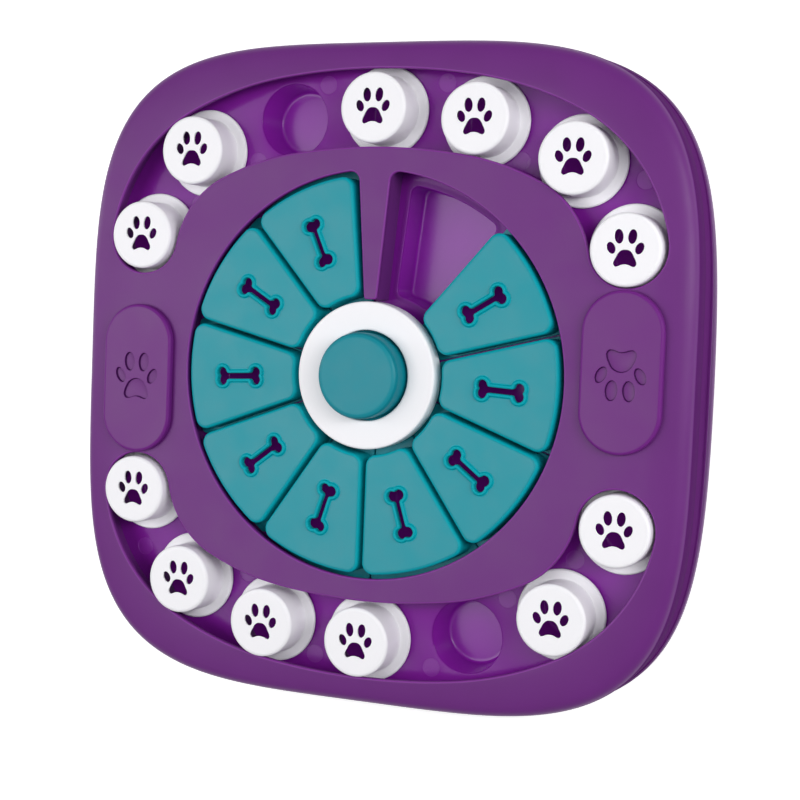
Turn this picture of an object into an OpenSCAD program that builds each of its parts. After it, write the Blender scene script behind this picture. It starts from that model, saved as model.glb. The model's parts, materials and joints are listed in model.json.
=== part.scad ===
// Dog puzzle feeder toy. A rounded-square tray of food cups lies under a slotted cover.
// Nine wedge sliders turn round a squeaker button, twelve paw knobs run in two curved
// tracks, and two side sliders run on the cover. Millimetres, +Z up. The origin is on
// the ground under the middle of the round opening.

/* [Outline] */
// Width of the tray's lip, left to right
toy_w = 343; // [342:1:356]
// Depth of the tray's lip, front to back
toy_d = 347; // [342:1:356]
// Power of the rounded-square outline: 2 is an ellipse, more is squarer
corner_power = 3.95; // [3.8:0.05:4.4]
// How much less the tray's lip stands out at the corners than along the sides
lip_tuck = 2.3; // [0:0.1:2.6]

/* [Tray] */
// Thickness of the rubber feet
foot_h = 1.5; // [1:0.25:3]
// Radius of a rubber foot
foot_r = 6; // [4:0.5:8]
// Thickness of the bottom of every food cup
cup_floor = 1.8; // [1.2:0.1:2.5]
// Depth of every food cup
cup_depth = 19.2; // [16:0.2:24]
// Thickness of the deck that joins the cups
deck_t = 2; // [1.5:0.1:3]
// Wall of the cups and the hub
cup_wall = 2; // [1.4:0.1:2.4]
// Wall of the tray's side
side_wall = 2.4; // [1.8:0.1:3]
// Height of the outer lip
lip_h = 4.5; // [3:0.5:6]
// How far the upper step of the lip lies inside the outer lip
step_in = 1.5; // [1:0.1:2]
// Height of the upper step
step_h = 1.5; // [1:0.1:2.5]
// How far the tray's side lies inside the outer lip
side_in = 3.1; // [2.8:0.1:3.5]
// Thickness of the ribs under the deck
rib_t = 1.6; // [1.2:0.1:2.4]
// Depth of the ribs under the deck
rib_h = 12.5; // [8:0.5:14]
// Distance of the long side ribs from the middle
side_rib_x = 134; // [128:1:140]
// Distance of the short side ribs from the middle line
side_rib_y = 15; // [12:1:17]

/* [Cover] */
// Height of the cover's flat top above the deck
cover_rise = 16.5; // [15:0.5:22]
// Wall of the cover
cover_t = 2.5; // [2:0.1:3]
// How far the cover's side lies inside the outer lip
cover_in = 2.7; // [2.5:0.1:3]
// Height of the cover's side and shoulder, from its lower edge to the flat top
skirt_h = 20; // [19.8:0.1:20.4]
// Width of the rounded shoulder, from the side to the flat top
shoulder_w = 20; // [16:0.5:22]
// Height of the rounded shoulder
shoulder_h = 8.5; // [7:0.25:10]
// Groove between the cover's lower edge and the tray's side
groove = 0.4; // [0.3:0.1:0.8]
// Gap between the tray's locating rim and the cover
rim_gap = 0.4; // [0.2:0.1:0.6]
// Gap that keeps still parts above the deck
deck_gap = 0.3; // [0.2:0.05:0.5]
// Radius of the round opening
opening_r = 105; // [104:0.5:106]
// Width of the spoke at its inner end
spoke_w = 7; // [5:0.5:7.5]
// Flare of the spoke's sides, in degrees from its middle line
spoke_flare = 4.74; // [4:0.02:5]
// Distance of the spoke's inner end from the middle
spoke_r = 39; // [38.6:0.1:41]
// Radius of the fillets between spoke and opening
spoke_fillet = 5; // [3:0.5:7]
// Wall of the spoke and of the walls that hang round the tracks and the opening
hang_t = 1.6; // [1.2:0.1:1.8]

/* [Tracks] */
// Distance of the track's middle line from the middle of the toy
track_y = 136.6; // [136.4:0.1:137.2]
// Radius of the middle stretch
track_r1 = 330; // [320:2:340]
// Turn of the middle stretch, each side, in degrees
track_a1 = 8.7; // [8.3:0.1:9]
// Radius of the second stretch
track_r2 = 160; // [156:1:164]
// Turn of the second stretch, in degrees
track_a2 = 18.2; // [17.8:0.1:18.6]
// Radius of the end stretch
track_r3 = 67.6; // [66:0.2:69]
// Turn of the end stretch, in degrees
track_a3 = 53.2; // [52:0.2:54]
// Half the width of the slot in the cover
slot_half = 19.8; // [19.6:0.1:20.2]
// Gap between a knob's flange and the track's hanging wall
track_slack = 2; // [1.9:0.1:2.2]
// Radius of a knob cup at the deck
pit_r = 19; // [18:0.25:20]
// Radius of a knob cup at its bottom
pit_bottom_r = 17; // [15:0.25:18]

/* [Knobs] */
// Radius of a knob's cap
cap_r = 18; // [17:0.1:18.2]
// Height of a cap above the cover
cap_proud = 3.6; // [2.5:0.1:5]
// Radius of a knob's flange
flange_r = 23.2; // [22.6:0.1:23.4]
// Thickness of a knob's flange
flange_t = 1.8; // [1.4:0.1:2.4]
// Wall of a cap
cap_wall = 1.8; // [1.4:0.1:2.4]
// Thickness of a cap's top
cap_top = 2; // [1.4:0.1:2.6]
// Rounding of a cap's top edge
cap_round = 1.5; // [0.8:0.1:1.8]
// Width of the paw-shaped hole in a cap
paw_w = 18.4; // [14:0.2:21]

/* [Wedge sliders] */
// Turn from one wedge place to the next, in degrees
wedge_pitch = 34.75; // [34.6:0.01:34.78]
// Inner radius of a wedge's top
wedge_r0 = 41; // [40:0.2:43]
// Outer radius of a wedge's top
wedge_r1 = 102.8; // [101:0.2:103.4]
// Gap between two wedges' tops
wedge_gap = 2.2; // [1.6:0.1:3]
// Gap between two wedges' flanges
wedge_flange_gap = 0.7; // [0.6:0.05:1]
// Inner radius of a wedge's flange
wedge_flange_r0 = 34; // [33.5:0.1:36]
// Outer radius of a wedge's flange
wedge_flange_r1 = 108.5; // [107.5:0.1:108.8]
// Gap between the wedges' flanges and the wall round the opening
wedge_slack = 0.9; // [0.6:0.1:1]
// Thickness of a wedge's flange
wedge_flange_t = 2; // [1.5:0.1:2.6]
// Height of a wedge above the cover
wedge_proud = 1.1; // [0.5:0.1:2]
// Wall of a wedge
wedge_wall = 2; // [1.5:0.1:2.4]
// Radius of a wedge's corners
wedge_corner = 6; // [4.5:0.25:7]
// Bevel round a wedge's top
wedge_bevel = 1.8; // [1:0.1:2]
// Distance of a bone's middle from the middle of the toy
bone_r = 73.1; // [71:0.1:75]
// Length of a bone-shaped hole
bone_l = 25; // [20:0.5:28]
// Radius of a bone's four knuckles
knuckle_r = 2.7; // [2.2:0.1:3]
// Distance of the knuckles from the bone's middle line
knuckle_off = 2; // [1.6:0.1:2.2]
// Thickness of a bone's shaft
bone_t = 3; // [2.4:0.1:4]
// Width of the raised lip round a bone
bone_lip_w = 1.7; // [1:0.1:2.2]
// Height of the raised lip round a bone
bone_lip_h = 1.5; // [0.6:0.1:2]

/* [Wedge compartments] */
// Inner radius of a wedge compartment
bay_r0 = 42.5; // [42:0.25:44]
// Outer radius of a wedge compartment
bay_r1 = 99.5; // [97:0.25:100]
// Ledge between a compartment and the border of its place
bay_ledge = 3.5; // [3.2:0.1:4.5]
// Radius of a compartment's corners
bay_corner = 4; // [3:0.25:5]

/* [Hub] */
// Outer radius of the white ring
ring_r = 37.9; // [37:0.1:38.2]
// Radius of the hole in the ring
ring_hole_r = 23.3; // [23:0.1:23.6]
// Height of the ring above the cover
ring_proud = 2.7; // [2:0.1:4]
// Thickness of the ring's top
ring_t = 3; // [2.4:0.1:3.2]
// Height of the collar round the ring's hole
ring_collar_h = 5; // [4:0.2:6]
// Height of the ring's outer skirt
ring_skirt_h = 9.7; // [8:0.1:12]
// Wall of the ring's skirt
ring_wall = 2; // [1.5:0.1:2.4]
// Rounding of the ring's outer edge
ring_round = 2; // [1:0.1:2.5]
// Radius of the button
button_r = 22; // [21.5:0.1:22.2]
// Height of the button above the cover
button_proud = 13.8; // [12:0.2:16]
// Rounding of the button's top edge
button_round = 3; // [2:0.1:3.5]
// Wall of the button
button_wall = 2; // [1.5:0.1:2.4]
// Radius of the button's flange
button_flange_r = 25; // [24.8:0.1:25.2]
// Thickness of the button's flange
button_flange_t = 2; // [1.5:0.1:2.5]
// Gap between the button's flange and the ring
button_gap = 0.3; // [0.2:0.05:0.5]
// Inner radius of the hub's cup
hub_r = 26.5; // [26.2:0.1:26.8]
// Height of the hub's wall above the deck
hub_h = 7.5; // [6:0.5:8]
// Largest radius of the squeaker's bellows
bellows_r = 16; // [12:0.5:20]
// Radius of the squeaker's reed insert
reed_r = 9; // [7:0.5:11]
// Height of the reed insert
reed_h = 5; // [4:0.5:7]
// Radius of the button's inner post
post_r = 4; // [3:0.5:6]

/* [Side sliders] */
// Width of a side slider
pill_w = 41.3; // [38:0.1:42]
// Length of a side slider
pill_l = 80; // [74:0.5:81]
// How far the side sliders lie inwards of the middle between lip and opening
pill_in = 3.95; // [2.5:0.05:5]
// Height of a side slider above the cover
pill_proud = 3.9; // [3:0.1:5]
// Half of a side slider's travel
pill_shift = 8.2; // [6:0.1:8.4]
// Gap between a side slider and the cover
pill_gap = 0.3; // [0.2:0.05:0.5]
// Rounding of a side slider's top edge
pill_round = 1.6; // [0.8:0.1:2]
// Width of the engraved paw
pill_paw_w = 24.5; // [20:0.5:28]
// How much plumper the engraved paw is than the knobs' paws
pill_paw_plump = 0.45; // [0:0.05:0.5]
// Depth of the engraved paw
pill_paw_d = 0.8; // [0.4:0.1:1.2]
// Width of the neck that passes through the cover
neck_w = 12; // [10:0.5:14]
// Length of the neck
neck_l = 26; // [22:1:30]
// Width of the keeper plate
keeper_w = 22; // [18:0.5:26]
// Length of the keeper plate
keeper_l = 46; // [40:1:50]
// Thickness of the keeper plate
keeper_t = 2; // [1.5:0.1:2.5]
// Radius of the keeper plate's pegs
peg_r = 2; // [1.5:0.1:2.5]

/* [Screws] */
// Radius of a screw's thread
screw_r = 1.45; // [1.2:0.05:1.6]
// Radius of a screw's head
head_r = 2.8; // [2.4:0.1:3]
// Height of a screw's head
head_h = 2; // [1.6:0.1:2.4]
// Wall round a screw in the cover and the tray
boss_wall = 2.5; // [2:0.1:2.8]
// Wall round a screw's head under the deck
column_wall = 1.3; // [1:0.1:1.6]
// Wall round a ring screw
ring_boss_wall = 1.5; // [1.2:0.1:1.7]
// Radial clearance of a screw in the tray
screw_gap = 0.3; // [0.2:0.05:0.4]
// Radial clearance of a screw's head in its column
head_gap = 0.4; // [0.3:0.05:0.6]
// Depth of the side bosses' tops below the flat top, under the rounded shoulder
side_boss_drop = 4; // [3.6:0.1:4.4]
// Length of the cover screws under the head
cover_screw_l = 22; // [18:1:23]
// Length of the ring screws under the head
ring_screw_l = 24; // [23:1:26]
// Height of the screw heads' seat above the ground
seat_z = 10; // [8:0.5:12]
// Distance of the corner screws from the outline's corner, along each side
corner_screw_in = 11.3; // [10.5:0.1:12]
// Distance of the side screws from the lip
side_screw_in = 10; // [9.5:0.1:11]
// Distance of the side screws from the middle line
side_screw_y = 48; // [46:0.5:49]
// Distance of the inner screws from the middle, along each side
inner_screw = 84.5; // [83.5:0.1:86]
// Distance of the ring screws from the middle
ring_screw_r = 29.4; // [29.3:0.1:29.6]

/* [Hidden] */
$fn = 64;

// Colours
matte_purple = [0.46, 0.30, 0.53];
glossy_purple = [0.56, 0.31, 0.64];
teal = [0.23, 0.60, 0.65];
white = [0.95, 0.95, 0.97];
dark_rubber = [0.15, 0.14, 0.16];
steel = [0.70, 0.70, 0.72];

// Levels above the ground
pit_z = foot_h + cup_floor;
deck_z = pit_z + cup_depth;
slide_z = deck_z + deck_gap;
cover_z = deck_z + cover_rise;
ceiling_z = cover_z - cover_t;
skirt_z = cover_z - skirt_h;
seam_z = skirt_z - groove;
eps = 0.01;

// How deep a boss or a hanging wall reaches into the cover's top
boss_bite = 0.8;

// Half sizes of the outline's parts
lip_x = toy_w / 2;
lip_y = toy_d / 2;
rim_in = cover_in + cover_t + rim_gap;
rim_wall_in = rim_in + cup_wall;

// Section of the cover's edge: [depth below the flat top, inset from the side], with the
// shoulder drawn as shares of its height and width
shoulder = concat(
    [for (s = [[0, 1], [0.07, 0.55], [0.18, 0.25], [0.34, 0.115], [0.61, 0.035], [1, 0]])
        [s[0] * shoulder_h, s[1] * shoulder_w]],
    [[skirt_h, 0]]
);
opening_wall_r = wedge_flange_r1 + wedge_slack;
pill_x = (lip_x + opening_r) / 2 - pill_in;
keeper_top = ceiling_z - pill_gap;

// Track: three tangent arcs on each side of the middle
arc_1 = track_r1 * track_a1 * PI / 180;
arc_2 = track_r2 * track_a2 * PI / 180;
arc_3 = track_r3 * track_a3 * PI / 180;
track_half = arc_1 + arc_2 + arc_3;
knob_pitch = track_half / 3;
centre_1 = [0, track_y - track_r1];
centre_2 = centre_1 + (track_r1 - track_r2) * [sin(track_a1), cos(track_a1)];
turn_12 = track_a1 + track_a2;
centre_3 = centre_2 + (track_r2 - track_r3) * [sin(turn_12), cos(turn_12)];
track_wall = flange_r + track_slack;

// Track positions of the outline's points: few on the flat arcs, more on the tight one
track_steps = [
    for (k = [0:5]) k * arc_1 / 5,
    for (k = [1:5]) arc_1 + k * arc_2 / 5,
    for (k = [1:12]) arc_1 + arc_2 + k * arc_3 / 12
];

// Cup places of a track, counted from the middle; the other track is turned by 180 degrees
pit_places = [-3, -2, -1, 0, 1, 2, 3];
foot_places = [-3, -2, 2, 3];

// Knobs: [turn of the track, place, shift along the track, shift outwards], where a shift
// is a share of the slack between a flange and the track's walls
knobs = [
    [0, -3, 0.25, 0], [0, -2, 0.5, 0.4], [0, 0, -0.5, -0.15],
    [0, 1, 0, -0.7], [0, 2, 0.8, -0.7], [0, 3, 0.6, -0.25],
    [180, 3, 0, 0.15], [180, 2, -0.75, 0.7], [180, 1, 0, 0.7],
    [180, 0, -0.2, 0.6], [180, -2, 0.8, 0.7], [180, -3, 0, 0.25]
];

// Wedge places: ten, the first next to the spoke on the right; the first one is left free
wedge_places = 10;
first_wedge_a = 90 - (360 - wedge_places * wedge_pitch) / 2 - wedge_pitch / 2;
wedge_half = wedge_pitch / 2;

// Hub
ring_z = cover_z + ring_proud;
ring_under = ring_z - ring_t;
button_z = cover_z + button_proud;
collar_z = ring_z - ring_collar_h;
button_flange_z = collar_z - button_gap - button_flange_t;
bellows_z0 = pit_z + reed_h;
bellows_z1 = button_flange_z + button_flange_t;
hub_z = deck_z + hub_h;
ring_boss_z = hub_z + deck_gap;

// Screws
hole_r = screw_r + screw_gap;
boss_r = screw_r + boss_wall;
column_r = head_r + head_gap + column_wall;
ring_boss_r = screw_r + ring_boss_wall;
ring_column_r = hole_r + ring_boss_wall;
corner_k = pow(0.5, 1 / corner_power);
side_screw_at = [
    for (sx = [-1, 1], sy = [-1, 1]) [sx * (lip_x - side_screw_in), sy * side_screw_y]
];
flat_screw_at = [
    for (sx = [-1, 1], sy = [-1, 1])
        each [
            [sx * (lip_x * corner_k - corner_screw_in), sy * (lip_y * corner_k - corner_screw_in)],
            [sx * inner_screw, sy * inner_screw]
        ]
];
cover_screw_at = concat(side_screw_at, flat_screw_at);
ring_screw_at = [for (a = [30, 150, 270]) ring_screw_r * [cos(a), sin(a)]];

// ---------- outlines ----------

// Rounded square, inset from the outer lip and drawn in by tuck at its corners
function squircle(inset, tuck = 0, n = 96) = [
    for (i = [0:n - 1])
        let (a = 360 * i / n,
             k = pow(pow(abs(cos(a)), corner_power) + pow(abs(sin(a)), corner_power),
                     -1 / corner_power),
             t = tuck * pow(sin(2 * a), 2))
        [((lip_x - inset) * k - t) * cos(a), ((lip_y - inset) * k - t) * sin(a)]
];

// Heading of the track, in degrees, at a distance u from its middle
function track_turn(u) =
    u <= arc_1 ? u / track_r1 * 180 / PI
    : u <= arc_1 + arc_2 ? track_a1 + (u - arc_1) / track_r2 * 180 / PI
    : turn_12 + (u - arc_1 - arc_2) / track_r3 * 180 / PI;

function track_centre(u) = u <= arc_1 ? centre_1 : u <= arc_1 + arc_2 ? centre_2 : centre_3;
function track_radius(u) = u <= arc_1 ? track_r1 : u <= arc_1 + arc_2 ? track_r2 : track_r3;

// Point of the track at the signed distance s from its middle, shifted outwards by off
function track_point(s, off = 0) =
    let (u = abs(s), h = track_turn(u),
         p = track_centre(u) + (track_radius(u) + off) * [sin(h), cos(h)])
    [s < 0 ? -p[0] : p[0], p[1]];

// Points of one side of the track, from the left end to the right
function track_side(off) = concat(
    [for (k = [len(track_steps) - 1:-1:1]) track_point(-track_steps[k], off)],
    [for (s = track_steps) track_point(s, off)]
);

// Round end of the track, turned by its heading there
function track_end(off) = [
    for (k = [1:15])
        let (h = track_turn(track_half) + 180 * k / 16)
        track_point(track_half) + off * [sin(h), cos(h)]
];

function mirrored(points) = [for (k = [len(points) - 1:-1:0]) [-points[k][0], points[k][1]]];
function reversed(points) = [for (k = [len(points) - 1:-1:0]) points[k]];

// Outline of everything nearer than off to the track's middle line
module track_outline(off) {
    polygon(concat(track_side(off), track_end(off), reversed(track_side(-off)),
                   mirrored(track_end(off))));
}

// Points of an arc round c, from angle a0 to a1 in n steps
function arc(c, r, a0, a1, n) = [
    for (k = [0:n]) let (a = a0 + (a1 - a0) * k / n) c + r * [cos(a), sin(a)]
];

// Ring sector round +X: each straight side moved in by gap, corners rounded
function sector(r0, r1, gap, corner) =
    let (u = gap + corner,
         v_out = sqrt(pow(r1 - corner, 2) - u * u),
         v_in = sqrt(pow(r0 + corner, 2) - u * u),
         side = [cos(wedge_half), sin(wedge_half)],
         in = [sin(wedge_half), -cos(wedge_half)],
         c_out = v_out * side + u * in,
         c_in = v_in * side + u * in,
         a_out = atan2(c_out[1], c_out[0]),
         a_in = atan2(c_in[1], c_in[0]),
         upper = concat(arc([0, 0], r1, 0, a_out, 6),
                        arc(c_out, corner, a_out + (wedge_half + 90 - a_out) / 6, wedge_half + 90, 5),
                        arc(c_in, corner, wedge_half + 90, a_in + 180, 6),
                        arc([0, 0], r0, a_in * 2 / 3, 0, 2)))
    concat(upper, [for (k = [len(upper) - 2:-1:1]) [upper[k][0], -upper[k][1]]]);

// Outline lifted to height z
function ring(outline, z) = [for (p = outline) [p[0], p[1], z]];

// Closed solid through a list of rings with as many points each
module loft(rings) {
    n = len(rings[0]);
    last = (len(rings) - 1) * n;
    polyhedron(
        [for (r = rings) each r],
        concat([[for (k = [0:n - 1]) k]], [[for (k = [n - 1:-1:0]) last + k]],
               [for (j = [0:n:last - n], k = [0:n - 1])
                   each let (a = j + k, b = j + (k + 1) % n) [[a, a + n, b], [b, a + n, b + n]]]));
}

module stadium(w, l) {
    for (s = [-1, 1]) translate([0, s * (l - w) / 2]) circle(w / 2);
    square([w, l - w], center = true);
}

// Bone along X, grown by lip
module bone(lip = 0) {
    end = bone_l / 2 - knuckle_r;
    for (sx = [-1, 1], sy = [-1, 1])
        translate([sx * end, sy * knuckle_off]) circle(knuckle_r + lip, $fn = 32);
    square([2 * end, bone_t + 2 * lip], center = true);
}

function ellipse(a, b) = [for (i = [0:19]) [a * cos(18 * i), b * sin(18 * i)]];

// Paw with its toes towards +Y, as wide as w. It is drawn 18.4 wide, and plump thickens
// its toes and pad in that drawing
module paw(w, plump = 0) {
    k = w / (18.4 + 2 * plump);
    scale([k, k]) {
        for (s = [-1, 1]) {
            translate([s * 3.3, 6.3]) rotate(s * -6) polygon(ellipse(1.8 + plump, 3.4 + plump));
            translate([s * 7.2, 0.7]) rotate(s * -25) polygon(ellipse(1.7 + plump, 2.8 + plump));
        }
        difference() {
            union() {
                translate([0, -3.4]) circle(3.3 + plump, $fn = 32);
                for (s = [-1, 1]) translate([s * (3.3 + plump / 2), -6])
                    circle(2.2 + plump / 2, $fn = 32);
                polygon([[-3, -2.1], [3, -2.1], [5.2 + plump, -5.2], [3.2 + plump, -8.1 - plump / 2],
                         [-3.2 - plump, -8.1 - plump / 2], [-5.2 - plump, -5.2]]);
            }
            translate([0, -13.4 - plump / 2]) circle(6, $fn = 32);
        }
    }
}

// Spoke's outline, from its inner end to the wall round the opening, grown by grow
module spoke_outline(grow = 0) {
    y0 = spoke_r - grow;
    y1 = opening_wall_r + hang_t / 2;
    function half(y) = spoke_w / 2 + (y - spoke_r) * tan(spoke_flare) + grow / cos(spoke_flare);
    polygon([[-half(y0), y0], [half(y0), y0], [half(y1), y1], [-half(y1), y1]]);
}

// Round opening without the spoke, with fillets where they meet
module opening_outline() {
    offset(r = spoke_fillet) offset(delta = -spoke_fillet)
        difference() {
            circle(opening_r, $fn = 180);
            spoke_outline();
        }
}

// ---------- shared solids ----------

module squircle_slab(inset, z0, z1, tuck = 0) {
    translate([0, 0, z0]) linear_extrude(z1 - z0) polygon(squircle(inset, tuck));
}

module at_wedge_place(k) {
    rotate(first_wedge_a - k * wedge_pitch) children();
}

module at_pits(places) {
    for (turn = [0, 180], k = places)
        rotate(turn) translate(track_point(k * knob_pitch)) children();
}

// Upright cylinder from z0 to z1
module post(z0, z1, r, fn = 32) {
    translate([0, 0, z0]) cylinder(h = z1 - z0, r = r, $fn = fn);
}

// Turned solid with the outline's points given as [radius, height]
module turned(points, fn = 96) {
    rotate_extrude($fn = fn) polygon(points);
}

// Quarter round from the side to the top of a turned edge, as [radius, height]
function edge_round(r, z, size) = [
    for (a = [0:15:90]) [r - size + size * cos(a), z - size + size * sin(a)]
];

// Screw with its head's top at z = 0, pointing up
module screw(length) {
    post(-head_h, 0, head_r);
    post(-eps, length, screw_r);
}

// ---------- base tray ----------

module side_ribs() {
    z = deck_z - deck_t - rib_h;
    inner = sqrt(pow(bay_r1, 2) - pow(side_rib_y, 2));
    outer = lip_x - rim_wall_in + 1;
    for (s = [-1, 1]) {
        translate([s * side_rib_x - rib_t / 2, -side_screw_y, z])
            cube([rib_t, 2 * side_screw_y, rib_h + 1]);
        for (y = [-side_rib_y, side_rib_y])
            translate([s > 0 ? inner : -outer, y - rib_t / 2, z])
                cube([outer - inner, rib_t, rib_h + 1]);
    }
}

module tray_body() {
    difference() {
        union() {
            squircle_slab(0, foot_h, foot_h + lip_h, lip_tuck);
            squircle_slab(step_in, foot_h + lip_h - eps, foot_h + lip_h + step_h,
                          lip_tuck * (side_in - step_in) / side_in);
            squircle_slab(side_in, foot_h + lip_h, seam_z);
            squircle_slab(rim_in, seam_z - eps, deck_z);
        }
        squircle_slab(side_in + side_wall, foot_h - 1, seam_z - side_wall);
        squircle_slab(rim_wall_in, foot_h, deck_z - deck_t);
    }
}

module base_tray() {
    column_z = seat_z - head_h - 4;
    color(glossy_purple)
    difference() {
        union() {
            tray_body();
            for (k = [0:wedge_places - 1]) at_wedge_place(k)
                translate([0, 0, foot_h]) linear_extrude(deck_z - foot_h - 1)
                    polygon(sector(bay_r0 - cup_wall, bay_r1 + cup_wall,
                                   bay_ledge - cup_wall, bay_corner + cup_wall));
            at_pits(pit_places) translate([0, 0, foot_h])
                cylinder(h = deck_z - foot_h - 1, r1 = pit_bottom_r + cup_wall,
                         r2 = pit_r + cup_wall);
            post(foot_h, hub_z, hub_r + cup_wall, 96);
            side_ribs();
            for (p = cover_screw_at) translate(p) post(column_z, deck_z - 1, column_r);
            for (p = ring_screw_at) translate(p) post(column_z, hub_z, ring_column_r);
        }
        for (k = [0:wedge_places - 1]) at_wedge_place(k)
            translate([0, 0, pit_z]) linear_extrude(cup_depth + 1)
                polygon(sector(bay_r0, bay_r1, bay_ledge, bay_corner));
        at_pits(pit_places) translate([0, 0, pit_z])
            cylinder(h = cup_depth, r1 = pit_bottom_r, r2 = pit_r);
        post(pit_z, hub_z + 1, hub_r, 96);
        for (p = cover_screw_at) translate(p) {
            post(column_z - 1, seat_z, head_r + head_gap);
            post(seat_z - eps, deck_z + 1, hole_r);
        }
        for (p = ring_screw_at) translate(p) {
            post(column_z - 1, seat_z, head_r + head_gap);
            post(seat_z - eps, hub_z + 1, hole_r);
        }
    }
}

// ---------- top cover ----------

// One ring of the shell's section, cover_t further in and down on the inner side
function shell_ring(s, wall) =
    ring(squircle(cover_in + wall + s[1]), max(cover_z - wall - s[0], skirt_z));

// Crowned shell, open below: flat top, gentle slope, round shoulder, upright side
module cover_shell() {
    loft(concat([for (s = shoulder) shell_ring(s, cover_t)],
                [for (s = reversed(shoulder)) shell_ring(s, 0)]));
}

// Walls under the cover, down to just above the deck: round the tracks, the opening
// and the spoke
module hanging_walls() {
    translate([0, 0, slide_z]) linear_extrude(ceiling_z + boss_bite - slide_z) {
        for (turn = [0, 180]) rotate(turn) difference() {
            track_outline(track_wall + hang_t);
            track_outline(track_wall);
        }
        difference() {
            circle(opening_wall_r + hang_t, $fn = 180);
            circle(opening_wall_r, $fn = 180);
        }
        difference() {
            spoke_outline();
            spoke_outline(-hang_t);
        }
    }
}

module top_cover() {
    color(matte_purple)
    difference() {
        union() {
            cover_shell();
            hanging_walls();
            for (p = side_screw_at) translate(p) post(slide_z, cover_z - side_boss_drop, boss_r);
            for (p = flat_screw_at) translate(p) post(slide_z, ceiling_z + boss_bite, boss_r);
        }
        translate([0, 0, ceiling_z - eps]) linear_extrude(cover_t + 1) opening_outline();
        for (turn = [0, 180]) rotate(turn) translate([0, 0, slide_z])
            linear_extrude(cover_z + 1 - slide_z) track_outline(slot_half);
        for (s = [-1, 1]) translate([s * pill_x, 0, ceiling_z - 1]) linear_extrude(cover_t + 2)
            stadium(neck_w + 2 * pill_gap, neck_l + 2 * pill_shift + 2 * pill_gap);
        for (p = cover_screw_at) translate(p)
            post(slide_z - 1, seat_z + cover_screw_l + 1, screw_r + 0.05);
    }
}

// ---------- knobs ----------

module paw_knob(i) {
    k = knobs[i - 1];
    top = cover_z + cap_proud;
    place = track_point(k[1] * knob_pitch + k[2] * track_slack, k[3] * track_slack);
    color(white)
    rotate(k[0]) translate(place) rotate(-k[0])
        difference() {
            turned(concat([[0, slide_z], [flange_r, slide_z], [flange_r, slide_z + flange_t],
                           [cap_r, slide_z + flange_t]],
                          edge_round(cap_r, top, cap_round), [[0, top]]));
            post(slide_z - 1, top - cap_top, cap_r - cap_wall, 96);
            translate([0, 0, top - cap_top - 1]) linear_extrude(cap_top + 2) paw(paw_w);
        }
}

// ---------- wedge sliders ----------

// Outline of a wedge's top, moved in by inset
function wedge_outline(inset) =
    sector(wedge_r0 + inset, wedge_r1 - inset, wedge_gap / 2 + inset, wedge_corner - inset);

module wedge_slider(i) {
    top = cover_z + wedge_proud;
    bevel_z = top - wedge_bevel;
    body = wedge_outline(0);
    color(teal)
    at_wedge_place(i)
        difference() {
            union() {
                translate([0, 0, slide_z]) linear_extrude(wedge_flange_t)
                    polygon(sector(wedge_flange_r0, wedge_flange_r1, wedge_flange_gap / 2,
                                   wedge_corner / 2));
                translate([0, 0, slide_z]) linear_extrude(bevel_z - slide_z) polygon(body);
                loft([ring(body, bevel_z), ring(wedge_outline(wedge_bevel), top)]);
                translate([bone_r, 0, top - 1]) linear_extrude(1 + bone_lip_h) bone(bone_lip_w);
            }
            translate([0, 0, slide_z - 1]) linear_extrude(top - wedge_wall - slide_z + 1)
                polygon(wedge_outline(wedge_wall));
            translate([bone_r, 0, top - wedge_wall - 1])
                linear_extrude(wedge_wall + bone_lip_h + 2) bone();
        }
}

// ---------- hub ----------

module centre_ring() {
    collar = button_flange_r + button_gap;
    color(white)
    difference() {
        union() {
            turned(concat([[ring_hole_r, collar_z], [ring_hole_r, ring_z]],
                          reversed(edge_round(ring_r, ring_z, ring_round)),
                          [[ring_r, ring_z - ring_skirt_h], [ring_r - ring_wall, ring_z - ring_skirt_h],
                           [ring_r - ring_wall, ring_under], [collar, ring_under],
                           [collar, collar_z]]));
            for (p = ring_screw_at) translate(p) post(ring_boss_z, ring_under + 1, ring_boss_r);
        }
        for (p = ring_screw_at) translate(p)
            post(ring_boss_z - 1, seat_z + ring_screw_l + 1, screw_r + 0.05);
    }
}

module squeaker_button() {
    inside = button_r - button_wall;
    color(teal)
    difference() {
        turned(concat([[0, button_flange_z], [button_flange_r, button_flange_z],
                       [button_flange_r, button_flange_z + button_flange_t],
                       [button_r, button_flange_z + button_flange_t]],
                      edge_round(button_r, button_z, button_round), [[0, button_z]]));
        difference() {
            post(button_flange_z - 1, button_z - button_wall, inside, 96);
            post(bellows_z1 + deck_gap, button_z, post_r);
        }
    }
}

module squeaker_bellows() {
    folds = 4;
    fold_h = (bellows_z1 - bellows_z0) / (folds + 0.5);
    waist = bellows_r - 3;
    color(dark_rubber)
    turned(concat([[0, bellows_z0]],
                  [for (k = [0:folds - 1]) each [
                      [waist, bellows_z0 + k * fold_h],
                      [bellows_r, bellows_z0 + (k + 0.5) * fold_h]]],
                  [[waist, bellows_z0 + folds * fold_h], [waist, bellows_z1], [0, bellows_z1]]));
}

module squeaker_reed() {
    color(white) post(pit_z, bellows_z0, reed_r);
}

module ring_screws() {
    color(steel) for (p = ring_screw_at) translate([p[0], p[1], seat_z]) screw(ring_screw_l);
}

// ---------- side sliders ----------

// Left slider with its keeper, or the right one, turned by half a turn
module at_pill(side) {
    rotate(side == "left" ? 0 : 180) translate([-pill_x, -pill_shift]) children();
}

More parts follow.
